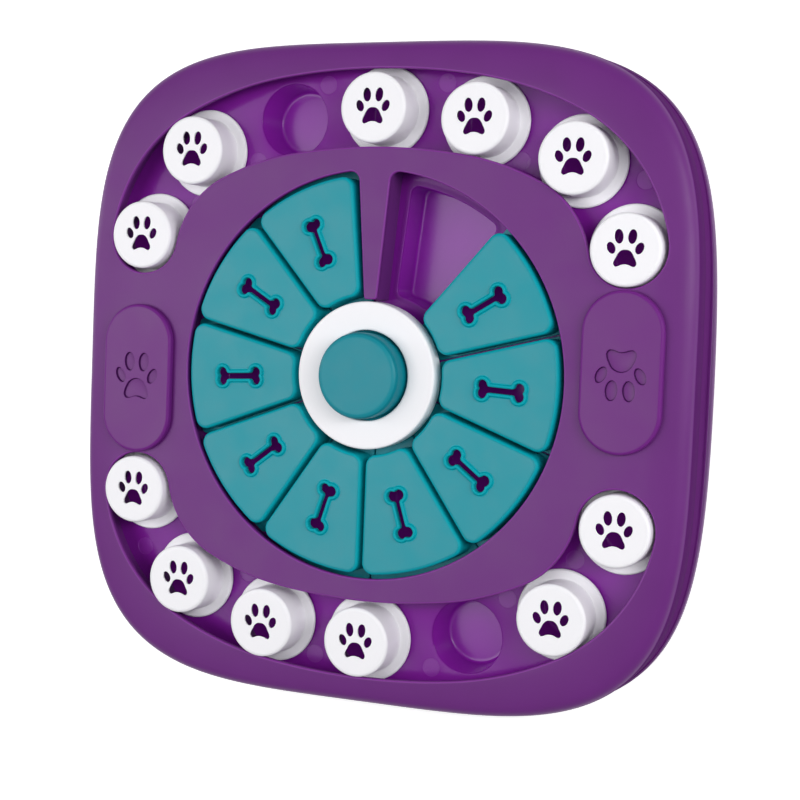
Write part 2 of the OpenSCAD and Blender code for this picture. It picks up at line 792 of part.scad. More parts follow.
module side_slider(side) {
    bottom = cover_z + pill_gap;
    top = cover_z + pill_proud;
    peg_y = (neck_l - neck_w) / 2;
    color(matte_purple)
    at_pill(side)
        difference() {
            union() {
                hull() {
                    translate([0, 0, bottom]) linear_extrude(top - pill_round - bottom)
                        stadium(pill_w, pill_l);
                    translate([0, 0, top - 0.1]) linear_extrude(0.1)
                        stadium(pill_w - 2 * pill_round, pill_l - 2 * pill_round);
                }
                translate([0, 0, keeper_top]) linear_extrude(bottom - keeper_top + 1)
                    stadium(neck_w, neck_l);
            }
            translate([0, 0, top - pill_paw_d]) linear_extrude(1) paw(pill_paw_w, pill_paw_plump);
            for (s = [-1, 1]) translate([0, s * peg_y]) post(keeper_top - 1, cover_z, peg_r + 0.05);
        }
}

module side_keeper(side) {
    peg_y = (neck_l - neck_w) / 2;
    color(matte_purple)
    at_pill(side) {
        translate([0, 0, keeper_top - keeper_t]) linear_extrude(keeper_t) stadium(keeper_w, keeper_l);
        for (s = [-1, 1]) translate([0, s * peg_y]) post(keeper_top - 1, cover_z - 0.5, peg_r);
    }
}

// ---------- feet and screws ----------

module rubber_feet() {
    color(dark_rubber) at_pits(foot_places) post(0, foot_h, foot_r);
}

module cover_screws() {
    color(steel) for (p = cover_screw_at) translate([p[0], p[1], seat_z]) screw(cover_screw_l);
}

base_tray();
top_cover();
centre_ring();
squeaker_button();
squeaker_bellows();
squeaker_reed();
for (i = [1:9]) wedge_slider(i);
for (i = [1:12]) paw_knob(i);
side_slider("left");  // side_slider_left
side_slider("right");  // side_slider_right
side_keeper("left");  // side_keeper_left
side_keeper("right");  // side_keeper_right
rubber_feet();
cover_screws();
ring_screws();
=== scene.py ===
"""Dog puzzle feeder toy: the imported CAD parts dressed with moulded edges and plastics."""

import json
import math

import bmesh
import bpy
import numpy as np
from mathutils import Matrix, Vector, geometry


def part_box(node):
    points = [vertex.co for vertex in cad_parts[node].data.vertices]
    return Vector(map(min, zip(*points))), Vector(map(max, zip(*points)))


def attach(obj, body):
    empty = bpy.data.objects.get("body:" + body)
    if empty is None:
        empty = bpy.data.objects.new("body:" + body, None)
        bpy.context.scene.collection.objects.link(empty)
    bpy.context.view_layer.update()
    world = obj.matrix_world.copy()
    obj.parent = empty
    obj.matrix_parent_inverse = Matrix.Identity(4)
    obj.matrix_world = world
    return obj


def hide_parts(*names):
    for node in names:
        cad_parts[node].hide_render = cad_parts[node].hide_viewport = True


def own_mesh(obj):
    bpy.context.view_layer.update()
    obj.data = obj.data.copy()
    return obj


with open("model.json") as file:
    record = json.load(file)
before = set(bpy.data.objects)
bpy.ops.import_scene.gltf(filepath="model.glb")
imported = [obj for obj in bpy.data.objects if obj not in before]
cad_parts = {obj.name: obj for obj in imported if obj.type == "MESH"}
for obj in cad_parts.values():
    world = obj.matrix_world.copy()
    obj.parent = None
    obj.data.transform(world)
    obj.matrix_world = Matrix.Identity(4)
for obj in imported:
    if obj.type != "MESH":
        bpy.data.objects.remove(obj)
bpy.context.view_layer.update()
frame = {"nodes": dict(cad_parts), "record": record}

MM = 0.001

# ---------- sizes of the part in millimetres, named as in part.scad ----------

LIP_X, LIP_Y, CORNER_POWER, LIP_TUCK = 171.5, 173.5, 3.95, 2.3

FOOT_H, LIP_H, STEP_IN, STEP_H, SIDE_IN, SIDE_WALL = 1.5, 4.5, 1.5, 1.5, 3.1, 2.4
CUP_FLOOR, CUP_DEPTH, CUP_WALL, DECK_T, DECK_GAP = 1.8, 19.2, 2.0, 2.0, 0.3
PIT_R, PIT_BOTTOM_R = 19.0, 17.0
SIDE_RIB_X, SIDE_RIB_Y, RIB_T, RIB_H = 134.0, 15.0, 1.6, 12.5
HUB_R, HUB_H = 26.5, 7.5

COVER_Z, COVER_T, COVER_IN, SKIRT_H = 39.0, 2.5, 2.7, 20.0
GROOVE, RIM_GAP, HANG_T = 0.4, 0.4, 1.6
OPENING_R, SPOKE_W, SPOKE_FLARE, SPOKE_R, SPOKE_FILLET = 105.0, 7.0, 4.74, 39.0, 5.0
OPENING_WALL_R = 109.4

TRACK_Y, SLOT_HALF, TRACK_WALL = 136.6, 19.8, 25.2
CAP_R, CAP_PROUD, CAP_WALL, CAP_TOP_T, FLANGE_R, FLANGE_T = 18.0, 3.6, 1.8, 2.0, 23.2, 1.8
PAW_W = 18.4

WEDGE_PLACES, WEDGE_PITCH = 10, 34.75
WEDGE_R0, WEDGE_R1, WEDGE_GAP, WEDGE_CORNER = 41.0, 102.8, 2.2, 6.0
WEDGE_FLANGE_R0, WEDGE_FLANGE_R1, WEDGE_FLANGE_GAP, WEDGE_FLANGE_CORNER = 34.0, 108.5, 0.7, 3.0
WEDGE_FLANGE_T, WEDGE_PROUD, WEDGE_WALL = 2.0, 1.1, 2.0
BONE_AT, BONE_L, KNUCKLE_R, KNUCKLE_OFF, BONE_T = 73.1, 25.0, 2.7, 2.0, 3.0
BAY_R0, BAY_R1, BAY_LEDGE, BAY_CORNER = 42.5, 99.5, 3.5, 4.0

RING_R, RING_HOLE_R, RING_PROUD, RING_T = 37.9, 23.3, 2.7, 3.0
RING_COLLAR_H, RING_SKIRT_H, RING_WALL = 5.0, 9.7, 2.0
BUTTON_R, BUTTON_PROUD, BUTTON_WALL, BUTTON_TRAVEL = 22.0, 13.8, 2.0, 4.0
BUTTON_FLANGE_R, BUTTON_FLANGE_T, BUTTON_GAP, BUTTON_POST_R = 25.0, 2.0, 0.3, 4.0
BELLOWS_R, BELLOWS_WAIST, BELLOWS_FOLDS = 16.0, 13.0, 4

PILL_W, PILL_L, PILL_PROUD, PILL_GAP = 41.3, 80.0, 3.9, 0.3
PILL_X, PILL_SHIFT, PILL_PAW_W = 134.3, 8.2, 24.5
NECK_W, NECK_L, PEG_HOLE_R = 12.0, 26.0, 2.05

SIDE_SCREW_IN, SIDE_SCREW_Y, CORNER_SCREW_IN, INNER_SCREW = 10.0, 48.0, 11.3, 84.5
BOSS_R, COLUMN_R, COLUMN_HOLE_R = 3.95, 4.5, 3.2
RING_SCREW_R, RING_BOSS_R, RING_COLUMN_R, RING_COLUMN_HOLE_R = 29.4, 2.95, 3.25, 1.75
COLUMN_Z = 4.0

# heights above the ground
LIP_Z = FOOT_H + LIP_H
STEP_Z = LIP_Z + STEP_H
PIT_Z = FOOT_H + CUP_FLOOR
DECK_Z = PIT_Z + CUP_DEPTH
DECK_UNDER = DECK_Z - DECK_T
SLIDE_Z = DECK_Z + DECK_GAP
HUB_Z = DECK_Z + HUB_H
CEILING_Z = COVER_Z - COVER_T
SKIRT_Z = COVER_Z - SKIRT_H
SEAM_Z = SKIRT_Z - GROOVE
RIM_IN = COVER_IN + COVER_T + RIM_GAP

# Section of the cover's edge: (inset from the side, depth below the flat top)
SHOULDER = [(20, 0), (11, 0.6), (5, 1.5), (2.3, 2.9), (0.7, 5.2), (0, 8.5)]

# The track: tangent arcs on each side of its middle, (radius, turn in degrees, steps)
TRACK_ARCS = [(330.0, 8.7, 16), (160.0, 18.2, 20), (67.6, 53.2, 40)]

# Each knob: turn of its track, place along it, and how far it lies ahead and outwards of it
KNOBS = [
    (0, -3, 0.5, 0), (0, -2, 1, 0.8), (0, 0, -1, -0.3), (0, 1, 0, -1.4), (0, 2, 1.6, -1.4),
    (0, 3, 1.2, -0.5), (180, 3, 0, 0.3), (180, 2, -1.5, 1.4), (180, 1, 0, 1.4),
    (180, 0, -0.4, 1.2), (180, -2, 1.6, 1.4), (180, -3, 0, 0.5),
]

# Ejector marks on the track floor: place along the track, and its outer or inner side
MARKS = [(-2.45, -1), (-1.5, -1), (-0.62, 1), (0.55, 1), (1.45, -1), (2.5, 1)]
MARK_R, MARK_OUT, MARK_DEPTH = 4.8, 15.5, 0.12

# ---------- finish that only this script gives, in millimetres ----------

STEEP_U = 6.0  # where the shoulder's flat part ends, inset from the cover's side
SIDE_U = 0.3  # where the cover's darker side, painted shade, begins
SLOT_ROUND, OPENING_ROUND, NECK_ROUND = 0.9, 0.8, 0.4
CUP_EDGE, CUP_FOOT, LEDGE_W = 0.8, 1.6, 2.8
WEDGE_ROUND, BONE_LIP_W, BONE_LIP_H, BONE_LIP_FILLET = 1.9, 1.7, 1.5, 0.5
CAP_ROUND, PAW_EDGE, PAW_DRAFT = 1.8, 0.25, 0.5
RING_ROUND, RING_HOLE_ROUND, BUTTON_ROUND = 1.2, 0.8, 3.0
PILL_ROUND, ENGRAVED_EDGE, ENGRAVED_DEPTH = 1.6, 0.2, 1.5
SMALL_EDGE = 0.3  # bevel of flanges and undersides
SINK = 0.5  # how far ribs, columns and posts run into the wall that carries them
HANG_SINK = 0.4  # the same for the walls that hang from the cover
SIDE_BOSS_DROP = 4.0  # top of the side screws' bosses, below the flat top
SHARP_ANGLE = 32  # degrees


# ---------- outlines: closed lists of points, counter-clockwise ----------


def arc(cx, cy, r, a0, a1, n, start=0):
    """Points round (cx, cy) from angle a0 to a1, in degrees, in n steps."""
    t = np.radians(a0 + (a1 - a0) * np.arange(start, n + 1) / n)
    return np.stack([cx + r * np.cos(t), cy + r * np.sin(t)], 1)


def circle(r, n=96, x=0.0, y=0.0):
    return arc(x, y, r, 0, 360 * (n - 1) / n, n - 1)


def polar(r, degrees):
    return r * math.cos(math.radians(degrees)), r * math.sin(math.radians(degrees))


def mirrored(x, y):
    """The four points at plus or minus x and y."""
    return [(sx * x, sy * y) for sx in (-1, 1) for sy in (-1, 1)]


def turned(points, degrees):
    c, s = math.cos(math.radians(degrees)), math.sin(math.radians(degrees))
    return points @ np.array([[c, s], [-s, c]])


def grown(points, off):
    """Outline moved outwards by off."""
    ahead = np.roll(points, -1, 0) - points
    back = points - np.roll(points, 1, 0)
    ahead /= np.linalg.norm(ahead, axis=1)[:, None]
    back /= np.linalg.norm(back, axis=1)[:, None]
    t = ahead + back
    t /= np.linalg.norm(t, axis=1)[:, None]
    stretch = 1 / np.maximum((t * ahead).sum(1), 0.7)
    return points + off * stretch[:, None] * np.stack([t[:, 1], -t[:, 0]], 1)


def spline(a, b, c, d, t):
    """Point at the share t of the way from b to c, on the smooth curve through a, b, c, d."""
    return 0.5 * (2 * b + (c - a) * t + (2 * a - 5 * b + 4 * c - d) * t ** 2
                  + (3 * b - a - 3 * c + d) * t ** 3)


def smooth_loop(control, n=8):
    """Closed curve through the control points, n steps from each to the next."""
    p = np.array(control, float)
    near = [np.roll(p, shift, 0)[:, None] for shift in (1, 0, -1, -2)]
    return spline(*near, (np.arange(n) / n)[None, :, None]).reshape(-1, 2)


def quarter(off, z, r, n=6):
    """Section of a quarter round: from (off, z) on a flat top, out by r and down by r."""
    t = np.linspace(0, math.pi / 2, n + 1)
    return [(off + r * math.sin(a), z - r + r * math.cos(a)) for a in t]


def squircle(inset, tuck=0.0, n=384):
    """Rounded square, inset from the outer lip and drawn in by tuck at its corners."""
    a = 2 * np.pi * np.arange(n) / n
    reach = (np.abs(np.cos(a)) ** CORNER_POWER + np.abs(np.sin(a)) ** CORNER_POWER) ** (
        -1 / CORNER_POWER)
    t = tuck * np.sin(2 * a) ** 2
    return np.stack([((LIP_X - inset) * reach - t) * np.cos(a),
                     ((LIP_Y - inset) * reach - t) * np.sin(a)], 1)


def side_inset(points):
    """How far points lie inside the cover's side, found in a few rounds."""
    inset = np.zeros(len(points))
    for _ in range(12):
        x = points[:, 0] / (LIP_X - COVER_IN - inset)
        y = points[:, 1] / (LIP_Y - COVER_IN - inset)
        share = (np.abs(x) ** CORNER_POWER + np.abs(y) ** CORNER_POWER) ** (1 / CORNER_POWER)
        inset = inset + (1 - share) * (LIP_X - COVER_IN - inset)
    return inset


def stadium(w, l, n=40):
    reach = (l - w) / 2
    return np.concatenate([arc(0, reach, w / 2, 0, 180, n), arc(0, -reach, w / 2, 180, 360, n)])


def outward(heading):
    """Direction away from the track's centre at a heading, clockwise from +Y, in radians."""
    return np.array([math.sin(heading), math.cos(heading)])


def track_legs():
    """Centre, radius, first heading, turn and steps of each arc of the track's right half."""
    heading, last_r = 0.0, TRACK_ARCS[0][0]
    centre = np.array([0, TRACK_Y - last_r])
    for r, turn, n in TRACK_ARCS:
        centre = centre + (last_r - r) * outward(math.radians(heading))
        yield centre, r, heading, turn, n
        heading, last_r = heading + turn, r


def track_half_line():
    """Points and outward directions of the right half of the track's middle line."""
    points, ways = [], []
    for centre, r, heading, turn, n in track_legs():
        for k in range(1 if points else 0, n + 1):
            way = outward(math.radians(heading + turn * k / n))
            points.append(centre + r * way)
            ways.append(way)
    return np.array(points), np.array(ways)


def track_outline(off):
    points, ways = track_half_line()
    heading = sum(turn for _, turn, _ in TRACK_ARCS)
    end = arc(*points[-1], off, 90 - heading, -90 - heading, 36)[1:-1]
    right = np.concatenate([points + off * ways, end, (points - off * ways)[::-1]])
    left = right[::-1] * [-1, 1]
    return np.concatenate([right, left[1:-1]])[::-1]


def track_middle(turn):
    points = track_half_line()[0]
    return turned(np.concatenate([points, points[1:] * [-1, 1]]), turn)


def track_place(s):
    """Point of the track's middle line at the signed distance s from its middle."""
    left = abs(s)
    for centre, r, heading, turn, _ in track_legs():
        length = r * math.radians(turn)
        if left <= length or r == TRACK_ARCS[-1][0]:
            p = centre + r * outward(math.radians(heading) + left / r)
            return np.array([math.copysign(p[0], s), p[1]])
        left -= length


def beside_track(s, out, turn, ahead=0.01):
    """Point that lies out from the track's middle line at s, on the track turned by turn."""
    at = track_place(s)
    way = track_place(s + ahead) - at
    way = way / np.linalg.norm(way)
    return turned((at + out * np.array([-way[1], way[0]]))[None], turn)[0]


KNOB_PITCH = sum(r * math.radians(turn) for r, turn, _ in TRACK_ARCS) / 3
CUP_PLACES = [
    turned(track_place(k * KNOB_PITCH)[None], turn)[0] for turn in (0, 180) for k in range(-3, 4)
]
CORNER_SCREW = [lip * 2 ** (-1 / CORNER_POWER) - CORNER_SCREW_IN for lip in (LIP_X, LIP_Y)]
SIDE_SCREWS = mirrored(LIP_X - SIDE_SCREW_IN, SIDE_SCREW_Y)
FLAT_SCREWS = mirrored(*CORNER_SCREW) + mirrored(INNER_SCREW, INNER_SCREW)
RING_SCREWS = [polar(RING_SCREW_R, a) for a in (30, 150, 270)]


def opening_outline(spoke_end_r=1.6):
    """The round opening without its spoke, filleted where they meet."""
    flare = math.radians(SPOKE_FLARE)
    along = np.array([math.sin(flare), math.cos(flare)])
    away = np.array([math.cos(flare), -math.sin(flare)])
    foot = np.array([SPOKE_W / 2, SPOKE_R]) + SPOKE_FILLET * away
    b = foot @ along
    t = -b + math.sqrt(b * b - foot @ foot + (OPENING_R - SPOKE_FILLET) ** 2)
    c = foot + t * along
    a = math.degrees(math.atan2(c[1], c[0]))
    fillet = arc(*c, SPOKE_FILLET, a, 180 - SPOKE_FLARE, 12)
    # the spoke's rounded inner end: the corner circle touches its side and its end
    end_y = SPOKE_R + spoke_end_r
    side_x = SPOKE_W / 2 + spoke_end_r * math.tan(flare) - spoke_end_r / math.cos(flare)
    end = arc(side_x, end_y, spoke_end_r, -SPOKE_FLARE, -90, 8)
    run = np.linspace(fillet[-1], end[0], 24)[1:-1]
    right = np.concatenate([arc(0, 0, OPENING_R, -90, a, 220), fillet[1:], run, end])
    left = right[::-1] * [-1, 1]
    return np.concatenate([right, left[:-1]])


def sector(r0, r1, gap, corner, n_out=28, n_corner=12, n_in=10):
    """Ring sector round +X: each straight side moved in by gap, corners rounded."""
    half = WEDGE_PITCH / 2
    u = gap + corner
    v_out = math.sqrt((r1 - corner) ** 2 - u * u)
    v_in = math.sqrt((r0 + corner) ** 2 - u * u)
    h = math.radians(half)
    side, inwards = np.array([math.cos(h), math.sin(h)]), np.array([math.sin(h), -math.cos(h)])
    c_out, c_in = v_out * side + u * inwards, v_in * side + u * inwards
    a_out = math.degrees(math.atan2(c_out[1], c_out[0]))
    a_in = math.degrees(math.atan2(c_in[1], c_in[0]))
    far, near = c_out + corner * -inwards, c_in + corner * -inwards
    upper = np.concatenate([
        arc(0, 0, r1, 0, a_out, n_out),
        arc(*c_out, corner, a_out, half + 90, n_corner, 1),
        np.linspace(far, near, 14)[1:-1],
        arc(*c_in, corner, half + 90, a_in + 180, n_corner),
        arc(0, 0, r0, a_in, 0, n_in, 1),
    ])
    return np.concatenate([upper, upper[-2:0:-1] * [1, -1]])


def wedge_turn(k):
    """Angle of the wedge place k, clockwise from the first one beside the spoke."""
    first = 90 - (360 - WEDGE_PLACES * WEDGE_PITCH) / 2 - WEDGE_PITCH / 2
    return first - k * WEDGE_PITCH


def bone(grow, shaft_fillet=1.3, notch_fillet=0.8):
    """Bone along X, grown outwards; its concave fillets shrink as it grows."""
    r, t, e = KNUCKLE_R + grow, BONE_T / 2 + grow, BONE_L / 2 - KNUCKLE_R
    fs, fn = max(shaft_fillet - 0.4 * grow, 0.4), max(notch_fillet - 0.2 * grow, 0.3)
    xf = e - math.sqrt((r + fs) ** 2 - (t + fs - KNUCKLE_OFF) ** 2)
    xn = e + math.sqrt((r + fn) ** 2 - KNUCKLE_OFF ** 2)
    a0 = math.degrees(math.atan2(-KNUCKLE_OFF, xn - e))
    a1 = math.degrees(math.atan2(t + fs - KNUCKLE_OFF, xf - e))
    corner = np.concatenate([
        arc(xn, 0, fn, 180, a0 + 180, 4),
        arc(e, KNUCKLE_OFF, r, a0, a1, 24, 1),
        arc(xf, t + fs, fs, a1 - 180, -90, 5, 1),
        np.linspace([xf, t], [0, t], 6)[1:],
    ])
    upper = np.concatenate([corner, corner[-2::-1] * [-1, 1]])
    return np.concatenate([upper, upper[-2:0:-1] * [1, -1]])


# Paws, drawn PAW_DRAWN_W wide with the toes towards +Y. inner and outer are a toe's half width
# and half length, at is the middle of the inner and of the outer toe, tilt is in degrees,
# and pad is the right half of the pad's outline.
PAW_DRAWN_W = 18.4
KNOB_PAW = {
    "inner": (2.15, 3.5), "outer": (2.0, 2.95), "at": (3.35, 6.3, 7.05, 0.7), "tilt": (6, 25),
    "pad": [(1.9, -0.4), (3.45, -1.75), (4.55, -3.8), (5.5, -5.7), (5.65, -7.15), (4.7, -8.2),
            (3.4, -8.0), (1.75, -7.3)],
}
PILL_PAW = {
    "inner": (2.3, 3.75), "outer": (1.95, 3.2), "at": (3.25, 6.6, 7.3, 1.0), "tilt": (4, 28),
    "pad": [(2.0, -0.55), (3.6, -1.7), (4.6, -3.3), (5.4, -5.2), (5.6, -6.9), (4.6, -8.2),
            (3.0, -8.2), (1.5, -7.7)],
}


def oval(x, y, a, b, tilt):
    return turned(circle(1, 40) * [a, b], tilt) + [x, y]


def paw(w, design):
    """Outlines of two inner toes, two outer toes and the pad of a paw that is w wide."""
    x1, y1, x2, y2 = design["at"]
    loops = []
    for s in (-1, 1):
        loops.append(oval(s * x1, y1, *design["inner"], -s * design["tilt"][0]))
        loops.append(oval(s * x2, y2, *design["outer"], -s * design["tilt"][1]))
    half = design["pad"]
    left = [(-x, y) for x, y in half]
    loops.append(smooth_loop([(0, -0.1)] + left + [(0, half[-1][1] + 0.25)] + half[::-1]))
    return [w / PAW_DRAWN_W * loop for loop in loops]


# ---------- meshes ----------


class Solid:
    """Closed surface made of rings, bands between them and flat or domed sheets.
    A ring is a list of vertex numbers, and a finish is the number of a material."""

    def __init__(self):
        self.verts, self.faces, self.finish = [], [], []

    def ring(self, outline, z):
        start = len(self.verts)
        z = np.broadcast_to(z, len(outline))
        self.verts += [(x, y, h) for (x, y), h in zip(outline, z)]
        return list(range(start, len(self.verts)))

    def band(self, a, b, finish=0):
        n = len(a)
        for i in range(n):
            j = (i + 1) % n
            self.faces.append((a[i], a[j], b[j], b[i]))
            self.finish.append(finish)

    def bands(self, rings, finish=0, until=None, then=0):
        """Bands from each ring to the next, with the finish then from the band until on."""
        for k, (a, b) in enumerate(zip(rings, rings[1:])):
            self.band(a, b, finish if until is None or k < until else then)

    def loft(self, outline_at, section, finish=0):
        """Bands through outline_at(off) at height z for each (off, z); its end rings."""
        rings = [self.ring(outline_at(off), z) for off, z in section]
        self.bands(rings, finish)
        return rings[0], rings[-1]

    def sheet(self, outer, holes=(), finish=0, inner_points=None, height=None):
        """Triangles between the outer ring and the hole rings, through any inner points."""
        loops = [outer, *holes]
        ids = [i for loop in loops for i in loop]
        if inner_points is not None:
            ids += self.ring(inner_points, height(inner_points))
        points = [Vector(self.verts[i][:2]) for i in ids]
        at, faces = 0, []
        for loop in loops:
            faces.append(list(range(at, at + len(loop))))
            at += len(loop)
        made = geometry.delaunay_2d_cdt(points, [], faces, 1, 1e-6, True)
        back = [ids[o[0]] if o else None for o in made[3]]
        for tri, inside in zip(made[2], made[5]):
            if list(inside) == [0]:
                self.faces.append(tuple(back[v] for v in tri))
                self.finish.append(finish)

    def post(self, x, y, r, z0, z1, n=40):
        o = circle(r, n, x, y)
        low, high = self.ring(o, z0), self.ring(o, z1)
        self.band(low, high)
        self.sheet(low)
        self.sheet(high)

    def prism(self, outer, hole, z0, z1):
        """Upright wall between two outlines."""
        rings = [[self.ring(o, z) for z in (z0, z1)] for o in (outer, hole)]
        for low, high in rings:
            self.band(low, high)
        for k in (0, 1):
            self.band(rings[0][k], rings[1][k])

    def block(self, x0, y0, z0, x1, y1, z1):
        o = np.array([(x0, y0), (x1, y0), (x1, y1), (x0, y1)], float)
        low, high = self.ring(o, z0), self.ring(o, z1)
        self.band(low, high)
        self.faces += [tuple(low), tuple(high)]
        self.finish += [0, 0]

    def made(self, name, materials, place=None):
        """The object, in metres, in its place."""
        mesh = bpy.data.meshes.new(name)
        bm = bmesh.new()
        verts = [bm.verts.new([c * MM for c in v]) for v in self.verts]
        for f, slot in zip(self.faces, self.finish):
            face = bm.faces.new([verts[i] for i in f])
            face.material_index = slot
            face.smooth = True
        bmesh.ops.remove_doubles(bm, verts=bm.verts[:], dist=1e-7)
        bmesh.ops.delete(bm, geom=[v for v in bm.verts if not v.link_faces], context="VERTS")
        bmesh.ops.recalc_face_normals(bm, faces=bm.faces[:])
        if place is not None:
            bm.transform(place)
        bm.to_mesh(mesh)
        bm.free()
        mesh.set_sharp_from_angle(angle=math.radians(SHARP_ANGLE))
        for m in materials:
            mesh.materials.append(m)
        piece = bpy.data.objects.new(name, mesh)
        bpy.context.scene.collection.objects.link(piece)
        return piece


# ---------- materials ----------


def linear(r, g, b):
    """Linear colour of an sRGB one given from 0 to 255."""
    return tuple(
        c / 12.92 if c <= 0.04045 else ((c + 0.055) / 1.055) ** 2.4
        for c in (r / 255, g / 255, b / 255)
    )


def add_side_roughness(nt, roughness, side):
    """Roughness that rises to side on upright faces."""
    facing = nt.nodes.new("ShaderNodeNewGeometry")
    split = nt.nodes.new("ShaderNodeSeparateXYZ")
    nt.links.new(facing.outputs["Normal"], split.inputs["Vector"])
    upright = nt.nodes.new("ShaderNodeMapRange")
    upright.inputs["From Min"].default_value = 0.15
    upright.inputs["From Max"].default_value = 0.5
    upright.inputs["To Min"].default_value = side
    upright.inputs["To Max"].default_value = 0.0
    nt.links.new(split.outputs["Z"], upright.inputs["Value"])
    most = nt.nodes.new("ShaderNodeMath")
    most.operation = "MAXIMUM"
    nt.links.new(roughness, most.inputs[0])
    nt.links.new(upright.outputs["Result"], most.inputs[1])
    return most.outputs[0]


def plastic(name, colour, roughness, mottle, grain=None, specular=0.5, smudge=0.08,
            side_roughness=None, glow=0.0, metallic=0.0):
    """Moulded plastic. mottle is its change of tone and the scale of that noise, grain the
    depth and size of its fine texture in mm, and smudge the change of its roughness.
    side_roughness is for upright faces, and glow is a painted glow: emission that stands in for
    light coming through thin walls."""
    m = bpy.data.materials.new(name)
    m.use_nodes = True
    nt = m.node_tree
    nodes, links = nt.nodes, nt.links
    bsdf = nodes["Principled BSDF"]
    bsdf.inputs["Specular IOR Level"].default_value = specular
    bsdf.inputs["Metallic"].default_value = metallic
    if glow:
        bsdf.inputs["Emission Color"].default_value = [*colour, 1]
        bsdf.inputs["Emission Strength"].default_value = glow
    shade, scale = mottle
    where = nodes.new("ShaderNodeTexCoord")
    cloud = nodes.new("ShaderNodeTexNoise")
    cloud.inputs["Scale"].default_value = scale
    cloud.inputs["Detail"].default_value = 3.0
    links.new(where.outputs["Object"], cloud.inputs["Vector"])
    tone = nodes.new("ShaderNodeMix")
    tone.data_type = "RGBA"
    tone.inputs["A"].default_value = [c * (1 - shade) for c in colour] + [1]
    tone.inputs["B"].default_value = [min(1, c * (1 + shade)) for c in colour] + [1]
    links.new(cloud.outputs["Fac"], tone.inputs["Factor"])
    links.new(tone.outputs["Result"], bsdf.inputs["Base Color"])
    rough = nodes.new("ShaderNodeMapRange")
    rough.inputs["To Min"].default_value = roughness * (1 - smudge)
    rough.inputs["To Max"].default_value = roughness * (1 + smudge)
    links.new(cloud.outputs["Fac"], rough.inputs["Value"])
    roughest = rough.outputs["Result"]
    if side_roughness:
        roughest = add_side_roughness(nt, roughest, side_roughness)
    links.new(roughest, bsdf.inputs["Roughness"])
    if grain:
        depth, size = grain
        fine = nodes.new("ShaderNodeTexNoise")
        fine.inputs["Scale"].default_value = 1 / (size * MM)
        fine.inputs["Detail"].default_value = 2.0
        links.new(where.outputs["Object"], fine.inputs["Vector"])
        bump = nodes.new("ShaderNodeBump")
        bump.inputs["Strength"].default_value = 0.35
        bump.inputs["Distance"].default_value = depth * MM
        links.new(fine.outputs["Fac"], bump.inputs["Height"])
        links.new(bump.outputs["Normal"], bsdf.inputs["Normal"])
    return m


# the cover and the side sliders, matte. The cover's side is darker than its top, as painted shade;
# the paler rounded edges are painted highlights, and the darker walls of the engraved paw are
# painted shade
cover_mat = plastic("cover_matte", linear(100, 33, 117), 0.4, (0.06, 45), (0.03, 0.45), 0.25,
                    smudge=0.3, side_roughness=0.95)
# the cover's side: a darker copy of the cover's purple, painted shade
cover_side_shade_mat = plastic("cover_side_painted_shade", linear(84, 28, 98), 0.9, (0.05, 45), (0.03, 0.45), 0.05)
# the rounded edges of the slots, opening and necks: a paler purple, painted highlight
cover_edge_highlight_mat = plastic("cover_edge_painted_highlight", linear(124, 50, 142), 0.4, (0.05, 18), (0.02, 0.45), 0.2)
pill_mat = plastic("slider_matte", linear(102, 34, 118), 0.4, (0.06, 45), (0.03, 0.45), 0.27,
                   smudge=0.3)
# the sliders' rounded edge and side: a paler purple, painted highlight
pill_edge_highlight_mat = plastic("slider_edge_painted_highlight", linear(108, 36, 125), 0.42, (0.04, 18), (0.02, 0.45), 0.1)
# the engraved paw's wall and foot: a dark purple, painted shade
pill_groove_shade_mat = plastic("slider_groove_painted_shade", linear(66, 20, 80), 0.6, (0.04, 18), (0.02, 0.45), 0.1)

# the tray, glossy. Its darker side is painted shade, its paler, greyer lip a painted reflection,
# the darker ledges round the compartments painted shade, and the brighter cups, which glow,
# painted light
tray_mat = plastic("tray_gloss", linear(121, 28, 144), 0.2, (0.1, 40), specular=0.13, smudge=0.25)
# the tray's rim, side and step: a darker copy of the tray's purple, painted shade
tray_side_shade_mat = plastic("tray_side_painted_shade", linear(92, 32, 106), 0.8, (0.05, 45), (0.02, 0.45), 0.06)
# the lip and all below it: a paler, greyer copy of the tray's purple, painted reflection
tray_lip_reflection_mat = plastic("tray_lip_painted_reflection", linear(106, 62, 120), 0.45, (0.05, 45), (0.02, 0.45), 0.3)
# the ledges round the compartments: a darker copy of the tray's purple, painted shade
ledge_shade_mat = plastic("tray_ledge_painted_shade", linear(112, 26, 134), 0.32, (0.06, 40), specular=0.1)
# the cups' and compartments' walls and floors: a brighter purple with a glow, painted light
cup_glow_mat = plastic("tray_cup_painted_glow", linear(134, 30, 158), 0.2, (0.05, 22), specular=0.3, glow=0.08)
tray_mark_mat = plastic("tray_ejector_mark", linear(124, 33, 147), 0.28, (0.05, 60),
                        (0.02, 0.4), 0.26)

# knobs and ring
white_mat = plastic("white_gloss", linear(248, 247, 251), 0.34, (0.01, 25), (0.01, 0.6), 0.16)
# the white cap's inner wall in a darker purple: painted reflection of the tray, and painted shade
cap_inside_reflection_mat = plastic("cap_inside_painted_reflection", linear(118, 74, 132), 0.6, (0.02, 25), (0.01, 0.6), 0.2)

# wedges and button. The wedges' sides, rounded edges and bone lips have less sheen and a brighter
# teal, which is painted highlight; the button's darker side is painted shade
teal_mat = plastic("teal_satin", linear(6, 141, 155), 0.4, (0.07, 60), (0.03, 0.4), 0.3,
                   smudge=0.35)
button_mat = plastic("teal_button", linear(4, 131, 146), 0.4, (0.07, 60), (0.03, 0.4), 0.25,
                     smudge=0.35)
